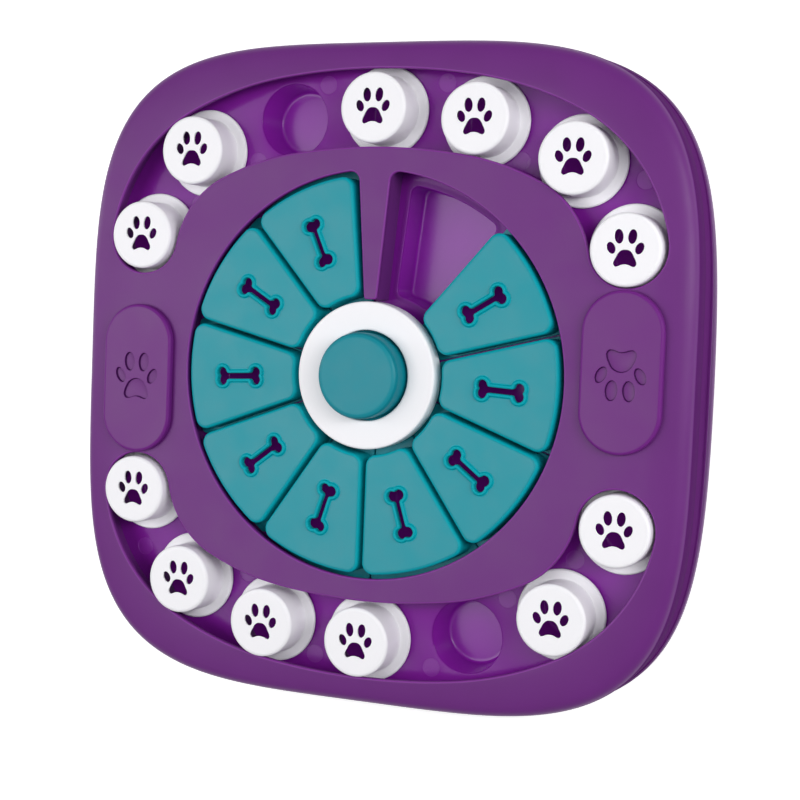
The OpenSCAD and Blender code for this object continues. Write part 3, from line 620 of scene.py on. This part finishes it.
# a brighter teal with less sheen on the wedges' sides, edges and bone lips: painted highlight
teal_edge_highlight_mat = plastic("teal_edge_painted_highlight", linear(4, 160, 173), 0.45, (0.03, 22), (0.02, 0.4), 0.08)
# the button's flange and side: a darker copy of the button's teal, painted shade
teal_side_shade_mat = plastic("teal_side_painted_shade", linear(2, 124, 139), 0.45, (0.03, 22), (0.02, 0.4), 0.1)

# feet, screws, bellows and reed
rubber_mat = plastic("foot_rubber", linear(44, 42, 46), 0.75, (0.08, 90), (0.05, 0.5))
steel_mat = plastic("screw_steel", linear(170, 170, 174), 0.35, (0.05, 200), metallic=1.0)
bellows_mat = plastic("bellows_rubber", linear(60, 58, 64), 0.6, (0.05, 90), (0.03, 0.5))
reed_mat = plastic("reed_plastic", linear(225, 225, 230), 0.4, (0.02, 60), (0.01, 0.5))


# ---------- top cover ----------

COVER_MATS = [cover_mat, cover_edge_highlight_mat, cover_side_shade_mat]
COVER_EDGE_HIGHLIGHT, COVER_SIDE_SHADE = 1, 2


def fine_shoulder(n=7):
    """The shoulder's section as a smooth curve, from the side inwards."""
    p = np.array([(0, 12)] + SHOULDER[::-1] + [(29, 0)], float)
    rows = [spline(*near, t) for near in zip(p, p[1:], p[2:], p[3:]) for t in np.arange(n) / n]
    rows = np.array(rows + [p[-2]])
    rows[:, 0] = np.maximum.accumulate(rows[:, 0])
    return rows


FINE_SHOULDER = fine_shoulder()


def cover_depth(u):
    """Depth of the cover's outer surface below its flat top at the inset u from the side."""
    return np.interp(u, FINE_SHOULDER[:, 0], FINE_SHOULDER[:, 1])


def cover_top(points):
    return COVER_Z - cover_depth(side_inset(points))


def cover_ceiling(points):
    return CEILING_Z - cover_depth(np.maximum(side_inset(points) - COVER_T, 0))


def cover_outline(u):
    return squircle(COVER_IN + u)


def cover_inner_points(slots, opening, necks):
    """The top's inner points, which follow the outline, the slots and the opening."""
    near = [grown(slot, SLOT_ROUND + d) for slot in slots for d in (0.4, 1.4, 3.0)]
    near.append(grown(opening, OPENING_ROUND + 0.35))
    near += [grown(neck, 0.9) for neck in necks]
    spare = np.concatenate([cover_outline(u) for u in (6.6, 7.8, 9.2, 11, 13, 15, 17, 19, 21, 23)])
    clear = np.ones(len(spare), bool)
    for turn in (0, 180):
        away = np.linalg.norm(spare[:, None] - track_middle(turn)[None], axis=2).min(1)
        clear &= away > SLOT_HALF + SLOT_ROUND + 4.2
    return np.concatenate(near + [spare[clear]])


def add_hanging_walls(s):
    """Walls and screw bosses that hang from the cover, sunk a little into its ceiling."""
    top = CEILING_Z + HANG_SINK
    for turn in (0, 180):
        s.prism(turned(track_outline(TRACK_WALL + HANG_T), turn),
                turned(track_outline(TRACK_WALL), turn), SLIDE_Z, top)
    s.prism(circle(OPENING_WALL_R + HANG_T, 240), circle(OPENING_WALL_R, 240), SLIDE_Z, top)
    # round the spoke: the outer wall, and the hollow that it leaves
    tan = math.tan(math.radians(SPOKE_FLARE))
    far = OPENING_WALL_R + HANG_T / 2
    spoke = [np.array([(-h - (far - y) * tan, far), (-h, y), (h, y), (h + (far - y) * tan, far)])
             for h, y in [(SPOKE_W / 2, SPOKE_R), (SPOKE_W / 2 - HANG_T, SPOKE_R + HANG_T)]]
    s.prism(*spoke, SLIDE_Z, top)
    for x, y in SIDE_SCREWS:
        s.post(x, y, BOSS_R, SLIDE_Z, COVER_Z - SIDE_BOSS_DROP)
    for x, y in FLAT_SCREWS:
        s.post(x, y, BOSS_R, SLIDE_Z, top)


def make_cover():
    s = Solid()
    slots = [turned(track_outline(SLOT_HALF), turn) for turn in (0, 180)]
    opening = opening_outline()
    neck = stadium(NECK_W + 2 * PILL_GAP, NECK_L + 2 * PILL_SHIFT + 2 * PILL_GAP)
    necks = [neck + [side * PILL_X, 0] for side in (-1, 1)]
    # outer side, from the steep part of the shoulder down, and up again inside
    inwards = [(u, d) for u, d in FINE_SHOULDER if u < STEEP_U - 0.1]
    steep = [(u, COVER_Z - d) for u, d in inwards[::-1]]
    outer_rim = s.ring(cover_outline(STEEP_U), COVER_Z - cover_depth(STEEP_U))
    bend = next(k for k, (u, _) in enumerate(steep) if u < SIDE_U)
    first, _ = s.loft(cover_outline, steep[:bend + 1])
    skirt = [(0, SKIRT_Z + 0.5), (0.15, SKIRT_Z + 0.15), (0.5, SKIRT_Z)]
    # the side below SIDE_U gets the darker painted shade
    _, last = s.loft(cover_outline, steep[bend:] + skirt, COVER_SIDE_SHADE)
    s.band(outer_rim, first)
    inside = [(COVER_T, SKIRT_Z)] + [(COVER_T + u, CEILING_Z - d) for u, d in inwards]
    low, high = s.loft(cover_outline, inside)
    s.band(last, low)
    # holes: rounded edges in a paler purple as a painted highlight, short walls, and rings for the
    # ceiling
    top_rims, low_rims = [], []
    holes = [(slot, SLOT_ROUND) for slot in slots] + [(opening, OPENING_ROUND)]
    for outline, rounding in holes + [(neck, NECK_ROUND) for neck in necks]:
        base = cover_top(grown(outline, rounding))
        edge = quarter(-rounding, 0, rounding)
        rings = [s.ring(grown(outline, -off), base + z) for off, z in edge]
        rings.append(s.ring(outline, cover_ceiling(outline)))
        s.bands(rings, COVER_EDGE_HIGHLIGHT, until=len(edge) - 1)
        top_rims.append(rings[0])
        low_rims.append(rings[-1])
    s.sheet(outer_rim, top_rims, inner_points=cover_inner_points(slots, opening, necks),
            height=cover_top)
    s.sheet(high, low_rims)
    add_hanging_walls(s)
    return s.made("cover_shell", COVER_MATS)


# ---------- base tray ----------

TRAY_MATS = [tray_mat, tray_mark_mat, cup_glow_mat, ledge_shade_mat, tray_side_shade_mat, tray_lip_reflection_mat]
TRAY_MARK, TRAY_CUP_GLOW, TRAY_LEDGE_SHADE, TRAY_SIDE_SHADE, TRAY_LIP_REFLECTION = 1, 2, 3, 4, 5


def foot_round(r, n=5):
    """Section of the rounded foot of a cup's wall, down to its floor."""
    return [(r - r * math.cos(a), PIT_Z + r - r * math.sin(a))
            for a in np.linspace(0, math.pi / 2, n + 1)]


def add_pit(s, mouth, foot_at, floor):
    """A cup or compartment in the deck: rounded edge, wall, rounded foot and floor.
    foot_at gives its outline at an inset from the wall's foot. Returns the mouth's ring."""
    edge = quarter(-CUP_EDGE, DECK_Z, CUP_EDGE)
    rings = [s.ring(grown(mouth, -off), z) for off, z in edge]
    rings += [s.ring(foot_at(off), z) for off, z in foot_round(CUP_FOOT)]
    # the wall, foot and floor get the brighter colour with the painted glow
    s.bands(rings, 0, until=len(edge) - 1, then=TRAY_CUP_GLOW)
    support = s.ring(floor, PIT_Z)
    s.band(rings[-1], support, TRAY_CUP_GLOW)
    s.sheet(support, finish=TRAY_CUP_GLOW)
    return rings[0]


def add_round_cup(s, x, y):
    foot_r = PIT_BOTTOM_R + (PIT_R - PIT_BOTTOM_R) / CUP_DEPTH * CUP_FOOT
    return add_pit(s, circle(PIT_R, 96, x, y), lambda off: circle(foot_r - off, 96, x, y),
                   circle(PIT_BOTTOM_R - CUP_FOOT - 0.6, 96, x, y))


def add_bay(s, bay):
    """A wedge-shaped compartment, with a ledge round it that is painted darker, as shade."""
    ledge = s.ring(grown(bay, LEDGE_W), DECK_Z)
    mouth = add_pit(s, bay, lambda off: grown(bay, -off), grown(bay, -CUP_FOOT - 0.6))
    s.band(ledge, mouth, TRAY_LEDGE_SHADE)
    return ledge


def add_hub(s):
    """The hub's wall, which stands above the deck, and its floor. Returns its outer ring."""
    r = HUB_R + CUP_WALL
    section = [(r + 0.8, DECK_Z), (r + 0.2, DECK_Z + 0.25), (r, DECK_Z + 0.8), (r, HUB_Z - 0.4),
               (r - 0.4, HUB_Z), (HUB_R + 0.4, HUB_Z), (HUB_R, HUB_Z - 0.4),
               (HUB_R, PIT_Z + 1), (HUB_R - 1, PIT_Z)]
    rings = [s.ring(circle(a, 120), z) for a, z in section]
    s.bands(rings)
    s.sheet(rings[-1])
    return rings[0]


def add_mark(s, x, y):
    """A shallow ejector mark in the deck. Returns its ring."""
    o = circle(MARK_R, 48, x, y)
    rim, floor = s.ring(o, DECK_Z), s.ring(grown(o, -0.15), DECK_Z - MARK_DEPTH)
    s.band(rim, floor, TRAY_MARK)
    s.sheet(floor, finish=TRAY_MARK)
    return rim


def add_tray_side(s):
    """Locating rim, side, step and lip, and up again inside. Returns its first and last ring."""
    to_lip = [
        (RIM_IN + 0.5, DECK_Z), (RIM_IN + 0.15, DECK_Z - 0.15), (RIM_IN, DECK_Z - 0.5),
        (RIM_IN, SEAM_Z), (SIDE_IN + 0.5, SEAM_Z), (SIDE_IN + 0.15, SEAM_Z - 0.15),
        (SIDE_IN, SEAM_Z - 0.5), (SIDE_IN, STEP_Z + 0.4), (SIDE_IN - 0.4, STEP_Z),
        (STEP_IN + 0.5, STEP_Z), (STEP_IN + 0.15, STEP_Z - 0.15), (STEP_IN, STEP_Z - 0.5),
        (STEP_IN, LIP_Z + 0.3)]
    from_lip = [
        to_lip[-1], (STEP_IN - 0.3, LIP_Z), (0.8, LIP_Z), (0.25, LIP_Z - 0.25), (0, LIP_Z - 0.8),
        (0, FOOT_H + 0.6), (0.2, FOOT_H + 0.2), (0.6, FOOT_H), (SIDE_IN + SIDE_WALL, FOOT_H),
        (SIDE_IN + SIDE_WALL, SEAM_Z - SIDE_WALL), (RIM_IN + CUP_WALL, SEAM_Z - SIDE_WALL),
        (RIM_IN + CUP_WALL, DECK_UNDER)]

    def tucked(u):
        return squircle(u, LIP_TUCK * min(max((SIDE_IN - u) / SIDE_IN, 0), 1))

    # the rim, side and step get the darker painted shade
    rim, _ = s.loft(tucked, to_lip, TRAY_SIDE_SHADE)
    # the lip and the underside get the paler, greyer painted reflection
    _, under = s.loft(tucked, from_lip, TRAY_LIP_REFLECTION)
    return rim, under


def add_underside(s, under, bay_outer):
    """Cups, compartments and hub, which stand below the deck's lower face."""
    shapes = [(circle(PIT_R + CUP_WALL - 0.2, 64, x, y), circle(PIT_BOTTOM_R + CUP_WALL, 64, x, y))
              for x, y in CUP_PLACES]
    shapes += [(o, o) for o in bay_outer]
    hub = circle(HUB_R + CUP_WALL, 96)
    shapes.append((hub, hub))
    holes = []
    for upper, lower in shapes:
        top, low = s.ring(upper, DECK_UNDER), s.ring(lower, FOOT_H)
        s.band(top, low)
        s.sheet(low)
        holes.append(top)
    s.sheet(under, holes)


def add_ribs_and_columns(s):
    """Ribs under the sides of the deck, and columns round the screws."""
    top, low = DECK_UNDER + SINK, DECK_UNDER - RIB_H
    outer = LIP_X - RIM_IN - CUP_WALL + 1
    inner = math.sqrt(BAY_R1 ** 2 - SIDE_RIB_Y ** 2)
    for sx in (-1, 1):
        x = sx * SIDE_RIB_X
        s.block(x - RIB_T / 2, -SIDE_SCREW_Y, low, x + RIB_T / 2, SIDE_SCREW_Y, top)
        for y in (-SIDE_RIB_Y, SIDE_RIB_Y):
            x0, x1 = sorted((sx * inner, sx * outer))
            s.block(x0, y - RIB_T / 2, low, x1, y + RIB_T / 2, top)
    for x, y in SIDE_SCREWS + FLAT_SCREWS:
        s.prism(circle(COLUMN_R, 40, x, y), circle(COLUMN_HOLE_R, 40, x, y), COLUMN_Z, top)
    for x, y in RING_SCREWS:
        s.prism(circle(RING_COLUMN_R, 40, x, y), circle(RING_COLUMN_HOLE_R, 40, x, y),
                COLUMN_Z, HUB_Z)


def make_tray():
    s = Solid()
    bay = sector(BAY_R0, BAY_R1, BAY_LEDGE, BAY_CORNER)
    bay_outer = sector(BAY_R0 - CUP_WALL, BAY_R1 + CUP_WALL, BAY_LEDGE - CUP_WALL,
                       BAY_CORNER + CUP_WALL)
    turns = [wedge_turn(k) for k in range(WEDGE_PLACES)]
    marks = [beside_track(k * KNOB_PITCH, side * MARK_OUT, turn, 0.01 * KNOB_PITCH)
             for turn in (0, 180) for k, side in MARKS]
    holes = [add_round_cup(s, x, y) for x, y in CUP_PLACES]
    holes += [add_bay(s, turned(bay, t)) for t in turns]
    holes.append(add_hub(s))
    holes += [add_mark(s, x, y) for x, y in marks]
    rim, under = add_tray_side(s)
    support = s.ring(squircle(RIM_IN + 1.0), DECK_Z)
    s.band(rim, support)
    s.sheet(support, holes)
    add_underside(s, under, [turned(bay_outer, t) for t in turns])
    add_ribs_and_columns(s)
    return s.made("tray_moulding", TRAY_MATS)


# ---------- wedge sliders ----------


def wedge_body(off):
    return sector(WEDGE_R0 - off, WEDGE_R1 + off, WEDGE_GAP / 2 - off, WEDGE_CORNER + off)


def wedge_flange(off):
    return sector(WEDGE_FLANGE_R0 - off, WEDGE_FLANGE_R1 + off, WEDGE_FLANGE_GAP / 2 - off,
                  WEDGE_FLANGE_CORNER + off)


def bone_at(grow):
    return bone(grow) + [BONE_AT, 0]


def bone_lip(top, ceiling):
    """Section of the lip round the bone: hollow foot, round top, then down through the hole."""
    f, r = BONE_LIP_FILLET, BONE_LIP_W / 2
    crest = top + BONE_LIP_H - r
    foot = [(BONE_LIP_W + f - f * math.sin(a), top + f - f * math.cos(a))
            for a in np.linspace(0, math.pi / 2, 5)]
    over = [(r + r * math.cos(a), crest + r * math.sin(a)) for a in np.linspace(0, math.pi, 11)]
    return foot + over + [(0, ceiling)]


def make_wedge(i):
    s = Solid()
    top = COVER_Z + WEDGE_PROUD
    ceiling, flange_z = top - WEDGE_WALL, SLIDE_Z + WEDGE_FLANGE_T
    # flange, side and rounded top edge; the side and most of the rounding are in the brighter
    # teal, a painted highlight
    low, high = s.loft(wedge_flange, [
        (-SMALL_EDGE, SLIDE_Z), (0, SLIDE_Z + SMALL_EDGE), (0, flange_z - SMALL_EDGE),
        (-SMALL_EDGE, flange_z)])
    side = [(0, flange_z)] + quarter(-WEDGE_ROUND, top, WEDGE_ROUND, 8)[::-1]
    rings = [s.ring(wedge_body(off), z) for off, z in side]
    s.band(high, rings[0])
    s.bands(rings, 1, until=len(rings) - 3)
    # top face, with a lip round the hole; the lip and the hole's wall are in the brighter teal, a
    # painted highlight
    rim, hole = s.loft(bone_at, bone_lip(top, ceiling), 1)
    support = s.ring(wedge_body(-WEDGE_ROUND - 0.5), top)
    s.band(rings[-1], support)
    near = s.ring(bone_at(BONE_LIP_W + BONE_LIP_FILLET + 0.4), top)
    s.band(rim, near)
    s.sheet(support, [near])
    # hollow underside
    inner = s.ring(wedge_body(-WEDGE_WALL), ceiling)
    s.sheet(inner, [hole])
    mouth = s.ring(wedge_body(-WEDGE_WALL), SLIDE_Z)
    s.band(inner, mouth)
    s.band(mouth, low)
    place = Matrix.Rotation(math.radians(wedge_turn(i)), 4, "Z")
    return s.made(f"wedge_{i}", [teal_mat, teal_edge_highlight_mat], place)


# ---------- paw knobs ----------


def make_knob(i):
    s = Solid()
    top = COVER_Z + CAP_PROUD
    ceiling, flange_z = top - CAP_TOP_T, SLIDE_Z + FLANGE_T
    section = [(CAP_R - CAP_WALL, SLIDE_Z), (FLANGE_R - SMALL_EDGE, SLIDE_Z),
               (FLANGE_R, SLIDE_Z + SMALL_EDGE), (FLANGE_R, flange_z - 0.6),
               (FLANGE_R - 0.6, flange_z), (CAP_R + 1.0, flange_z), (CAP_R + 0.3, flange_z + 0.3),
               (CAP_R, flange_z + 1.0)]
    section += quarter(CAP_R - CAP_ROUND, top, CAP_ROUND, 8)[::-1]
    section.append((CAP_R - CAP_ROUND - 0.5, top))
    rings = [s.ring(circle(r, 120), z) for r, z in section]
    s.bands(rings)
    inner = s.ring(circle(CAP_R - CAP_WALL, 120), ceiling)
    # the cap's inner wall: painted purple reflection and shade
    s.band(rings[0], inner, 1)
    upper, lower = [], []
    for o in paw(PAW_W, KNOB_PAW):
        cut = [s.ring(grown(o, -off), z) for off, z in quarter(-PAW_EDGE, top, PAW_EDGE, 3)]
        cut.append(s.ring(grown(o, PAW_DRAFT), ceiling))
        near = s.ring(grown(o, PAW_EDGE + 0.25), top)
        s.bands([near] + cut)
        upper.append(near)
        lower.append(cut[-1])
    s.sheet(rings[-1], upper)
    s.sheet(inner, lower)
    turn, place, along, out = KNOBS[i - 1]
    at = beside_track(place * KNOB_PITCH + along, out, turn)
    return s.made(f"knob_{i}", [white_mat, cap_inside_reflection_mat],
                  Matrix.Translation(Vector((*at, 0)) * MM))


# ---------- side sliders ----------


def make_pill(side):
    s = Solid()
    bottom, top, neck_z = COVER_Z + PILL_GAP, COVER_Z + PILL_PROUD, CEILING_Z - PILL_GAP
    o = stadium(PILL_W, PILL_L)
    section = [(-SMALL_EDGE, bottom), (0, bottom + SMALL_EDGE)]
    section += quarter(-PILL_ROUND, top, PILL_ROUND, 7)[::-1]
    # the rounded edge and side get the paler painted highlight
    low, high = s.loft(lambda off: grown(o, off), section, 1)
    support = s.ring(grown(o, -PILL_ROUND - 0.5), top)
    s.band(high, support)
    # the engraved paw: rounded edge, wall, and a foot that is rounded into its floor; the wall and
    # foot are darker, painted shade
    floor_z = top - ENGRAVED_DEPTH
    edge = quarter(-ENGRAVED_EDGE, top, ENGRAVED_EDGE, 3)
    holes = []
    for loop in paw(PILL_PAW_W, PILL_PAW):
        foot = [(0.1, floor_z + 0.25), (0.17, floor_z + 0.07), (0.4, floor_z)]
        rings = [s.ring(grown(loop, -off), z) for off, z in edge + foot]
        near = s.ring(grown(loop, ENGRAVED_EDGE + 0.3), top)
        s.bands([near] + rings, 0, until=len(edge), then=2)
        s.sheet(rings[-1])
        holes.append(near)
    s.sheet(support, holes)
    # neck through the cover, with the keeper's peg holes
    neck = stadium(NECK_W, NECK_L)
    under, foot = s.ring(neck, bottom), s.ring(neck, neck_z)
    s.sheet(low, [under])
    s.band(under, foot)
    pegs = []
    for sy in (-1, 1):
        peg = circle(PEG_HOLE_R, 32, 0, sy * (NECK_L - NECK_W) / 2)
        mouth, end = s.ring(peg, neck_z), s.ring(peg, COVER_Z)
        s.band(mouth, end)
        s.sheet(end)
        pegs.append(mouth)
    s.sheet(foot, pegs)
    place = Matrix.Rotation(0 if side == "left" else math.pi, 4, "Z") @ Matrix.Translation(
        Vector((-PILL_X, -PILL_SHIFT, 0)) * MM)
    return s.made(f"pill_{side}", [pill_mat, pill_edge_highlight_mat, pill_groove_shade_mat], place)


# ---------- hub ----------

RING_TOP = COVER_Z + RING_PROUD
RING_UNDER = RING_TOP - RING_T
COLLAR_Z = RING_TOP - RING_COLLAR_H
BELLOWS_Z = [corner[2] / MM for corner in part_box("squeaker_bellows")]


def make_ring():
    s = Solid()
    collar_r, skirt_z = BUTTON_FLANGE_R + BUTTON_GAP, RING_TOP - RING_SKIRT_H
    r = RING_HOLE_ROUND
    section = quarter(RING_R - RING_ROUND, RING_TOP, RING_ROUND, 8) + [
        (RING_R, skirt_z + SMALL_EDGE), (RING_R - SMALL_EDGE, skirt_z),
        (RING_R - RING_WALL, skirt_z), (RING_R - RING_WALL, RING_UNDER), (collar_r, RING_UNDER),
        (collar_r, COLLAR_Z), (RING_HOLE_R + SMALL_EDGE, COLLAR_Z),
        (RING_HOLE_R, COLLAR_Z + SMALL_EDGE)]
    section += [(RING_HOLE_R + r - r * math.cos(a), RING_TOP - r + r * math.sin(a))
                for a in np.linspace(0, math.pi / 2, 5)]
    section += [(RING_HOLE_R + r + 0.6, RING_TOP), (RING_R - RING_ROUND - 0.6, RING_TOP)]
    rings = [s.ring(circle(a, 160), z) for a, z in section]
    s.bands(rings + rings[:1])
    for x, y in RING_SCREWS:
        s.post(x, y, RING_BOSS_R, HUB_Z + DECK_GAP, RING_UNDER + SINK)
    return s.made("ring_white", [white_mat])


def make_button():
    s = Solid()
    r, top, e = BUTTON_R, COVER_Z + BUTTON_PROUD, SMALL_EDGE
    low = COLLAR_Z - BUTTON_GAP - BUTTON_FLANGE_T
    flange_z, post_z = low + BUTTON_FLANGE_T, low + BUTTON_FLANGE_T + DECK_GAP
    section = [(r - BUTTON_WALL, low), (BUTTON_FLANGE_R - e, low), (BUTTON_FLANGE_R, low + e),
               (BUTTON_FLANGE_R, flange_z - e), (BUTTON_FLANGE_R - e, flange_z),
               (r + e, flange_z), (r, flange_z + e)]
    section += quarter(r - BUTTON_ROUND, top, BUTTON_ROUND, 10)[::-1]
    section.append((r - BUTTON_ROUND - 0.8, top))
    rings = [s.ring(circle(a, 160), z) for a, z in section]
    # the flange, the side and the lower half of the rounding get the darker painted shade
    s.bands(rings, 1, until=len(rings) - 7)
    s.sheet(rings[-1])
    # hollow inside, with the post that presses the bellows
    ceiling = top - BUTTON_WALL
    inner = [s.ring(circle(a, 160), z) for a, z in [
        (r - BUTTON_WALL, ceiling), (BUTTON_POST_R, ceiling), (BUTTON_POST_R, post_z)]]
    s.bands([rings[0]] + inner)
    s.sheet(inner[-1])
    return s.made("button_cap", [button_mat, teal_side_shade_mat])


def make_bellows(steps=12):
    """Rubber bellows with rounded folds."""
    s = Solid()
    low, high = BELLOWS_Z
    fold_h = (high - low) / (BELLOWS_FOLDS + 0.5)
    deep = (BELLOWS_R - BELLOWS_WAIST) / 2
    section = [(BELLOWS_WAIST + deep * (1 - math.cos(2 * math.pi * k / steps)),
                low + fold_h * k / steps) for k in range(BELLOWS_FOLDS * steps + 1)]
    section += quarter(BELLOWS_WAIST - 0.5, high, 0.5)[::-1]
    rings = [s.ring(circle(r, 96), z) for r, z in section]
    s.bands(rings)
    s.sheet(rings[0])
    s.sheet(rings[-1])
    return s.made("bellows_rubber", [bellows_mat])


# ---------- the pieces and their bodies ----------

BODY_OF = {n: b for b, ns in frame["record"]["behaviour"]["bodies"].items() for n in ns}


def dress(piece, body, node):
    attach(piece, body)
    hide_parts(node)


dress(make_cover(), "housing", "top_cover")
dress(make_tray(), "housing", "base_tray")
dress(make_ring(), "housing", "centre_ring")
dress(make_button(), BODY_OF["squeaker_button"], "squeaker_button")
bellows = make_bellows()
dress(bellows, "housing", "squeaker_bellows")
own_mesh(bellows)
for i in range(1, WEDGE_PLACES):
    node = f"wedge_slider_{i}"
    dress(make_wedge(i), BODY_OF[node], node)
for i in range(1, len(KNOBS) + 1):
    node = f"paw_knob_{i}"
    dress(make_knob(i), BODY_OF[node], node)
for side in ("left", "right"):
    node = f"side_slider_{side}"
    dress(make_pill(side), BODY_OF[node], node)

NODE_MATERIALS = {
    "squeaker_reed": reed_mat, "side_keeper_left": pill_mat, "side_keeper_right": pill_mat,
    "rubber_feet": rubber_mat, "cover_screws": steel_mat, "ring_screws": steel_mat,
}
for node, material in NODE_MATERIALS.items():
    for slot in frame["nodes"][node].material_slots:
        slot.material = material

# ---------- floor, light and camera, in metres ----------

FLOOR_TONE, FLOOR_GLOW, WORLD_LIGHT = 0.78, 0.62, 0.2

# (name, place, target, size, power in watts)
LIGHTS = [
    ("key", (-0.5, -0.05, 1.2), (0, 0, 0.02), (0.68, 0.68), 5.6),
    ("strip", (0.86, 0.28, 0.98), (0.1, 0, 0.03), (0.25, 1.3), 7.4),
    ("edge", (1.1, 0.2, 0.32), (0.1, 0, 0.03), (0.2, 1.3), 5.0),
    ("left", (-1.05, 0.15, 0.5), (-0.1, 0, 0.03), (0.3, 1.3), 3.4),
]

LENS_MM, SENSOR_MM = 77.0, 36.0
CAMERA_AT = (0.3493, 0.0372, 0.8436)
CAMERA_RIGHT, CAMERA_BACK = (0.92348, 0.03885, -0.38168), (0.37935, 0.05597, 0.92356)


def direct_ray(nt):
    """1 for a camera, mirror or glass ray, 0 for the rays that carry soft light."""
    seen = nt.nodes.new("ShaderNodeLightPath")
    last = seen.outputs["Is Camera Ray"]
    for kind in ("Is Glossy Ray", "Is Transmission Ray"):
        most = nt.nodes.new("ShaderNodeMath")
        most.operation = "MAXIMUM"
        nt.links.new(last, most.inputs[0])
        nt.links.new(seen.outputs[kind], most.inputs[1])
        last = most.outputs[0]
    return last


def make_floor():
    mesh = bpy.data.meshes.new("floor")
    bm = bmesh.new()
    bmesh.ops.create_grid(bm, x_segments=1, y_segments=1, size=20)
    bm.to_mesh(mesh)
    bm.free()
    floor = bpy.data.objects.new("floor", mesh)
    bpy.context.scene.collection.objects.link(floor)
    m = bpy.data.materials.new("floor_paper")
    m.use_nodes = True
    nt = m.node_tree
    bsdf = nt.nodes["Principled BSDF"]
    bsdf.inputs["Base Color"].default_value = (FLOOR_TONE, FLOOR_TONE, FLOOR_TONE, 1)
    bsdf.inputs["Roughness"].default_value = 0.9
    bsdf.inputs["Specular IOR Level"].default_value = 0.1
    glow = nt.nodes.new("ShaderNodeMath")
    glow.operation = "MULTIPLY"
    glow.inputs[1].default_value = FLOOR_GLOW
    nt.links.new(direct_ray(nt), glow.inputs[0])
    bsdf.inputs["Emission Color"].default_value = (1, 1, 1, 1)
    nt.links.new(glow.outputs[0], bsdf.inputs["Emission Strength"])
    mesh.materials.append(m)


def make_light(name, place, target, size, power):
    data = bpy.data.lights.new(name, "AREA")
    data.shape = "RECTANGLE"
    data.size, data.size_y = size
    data.energy = power
    light = bpy.data.objects.new(name, data)
    bpy.context.scene.collection.objects.link(light)
    light.location = place
    light.rotation_euler = (Vector(target) - Vector(place)).to_track_quat("-Z", "Y").to_euler()


def make_world():
    """White where it is seen or mirrored, and a soft light everywhere else."""
    world = bpy.data.worlds.new("studio")
    world.use_nodes = True
    nt = world.node_tree
    back = nt.nodes["Background"]
    back.inputs["Color"].default_value = (1, 1, 1, 1)
    mix = nt.nodes.new("ShaderNodeMapRange")
    mix.inputs["To Min"].default_value = WORLD_LIGHT
    mix.inputs["To Max"].default_value = 1.0
    nt.links.new(direct_ray(nt), mix.inputs["Value"])
    nt.links.new(mix.outputs["Result"], back.inputs["Strength"])
    bpy.context.scene.world = world


def make_camera():
    data = bpy.data.cameras.new("camera")
    data.lens, data.sensor_width = LENS_MM, SENSOR_MM
    camera = bpy.data.objects.new("camera", data)
    bpy.context.scene.collection.objects.link(camera)
    back = Vector(CAMERA_BACK).normalized()
    up = back.cross(Vector(CAMERA_RIGHT).normalized()).normalized()
    turn = Matrix((up.cross(back), up, back)).transposed().to_4x4()
    camera.matrix_world = Matrix.Translation(CAMERA_AT) @ turn
    bpy.context.scene.camera = camera


make_floor()
for light in LIGHTS:
    make_light(*light)
make_world()
make_camera()
bpy.context.scene.view_settings.view_transform = "Standard"
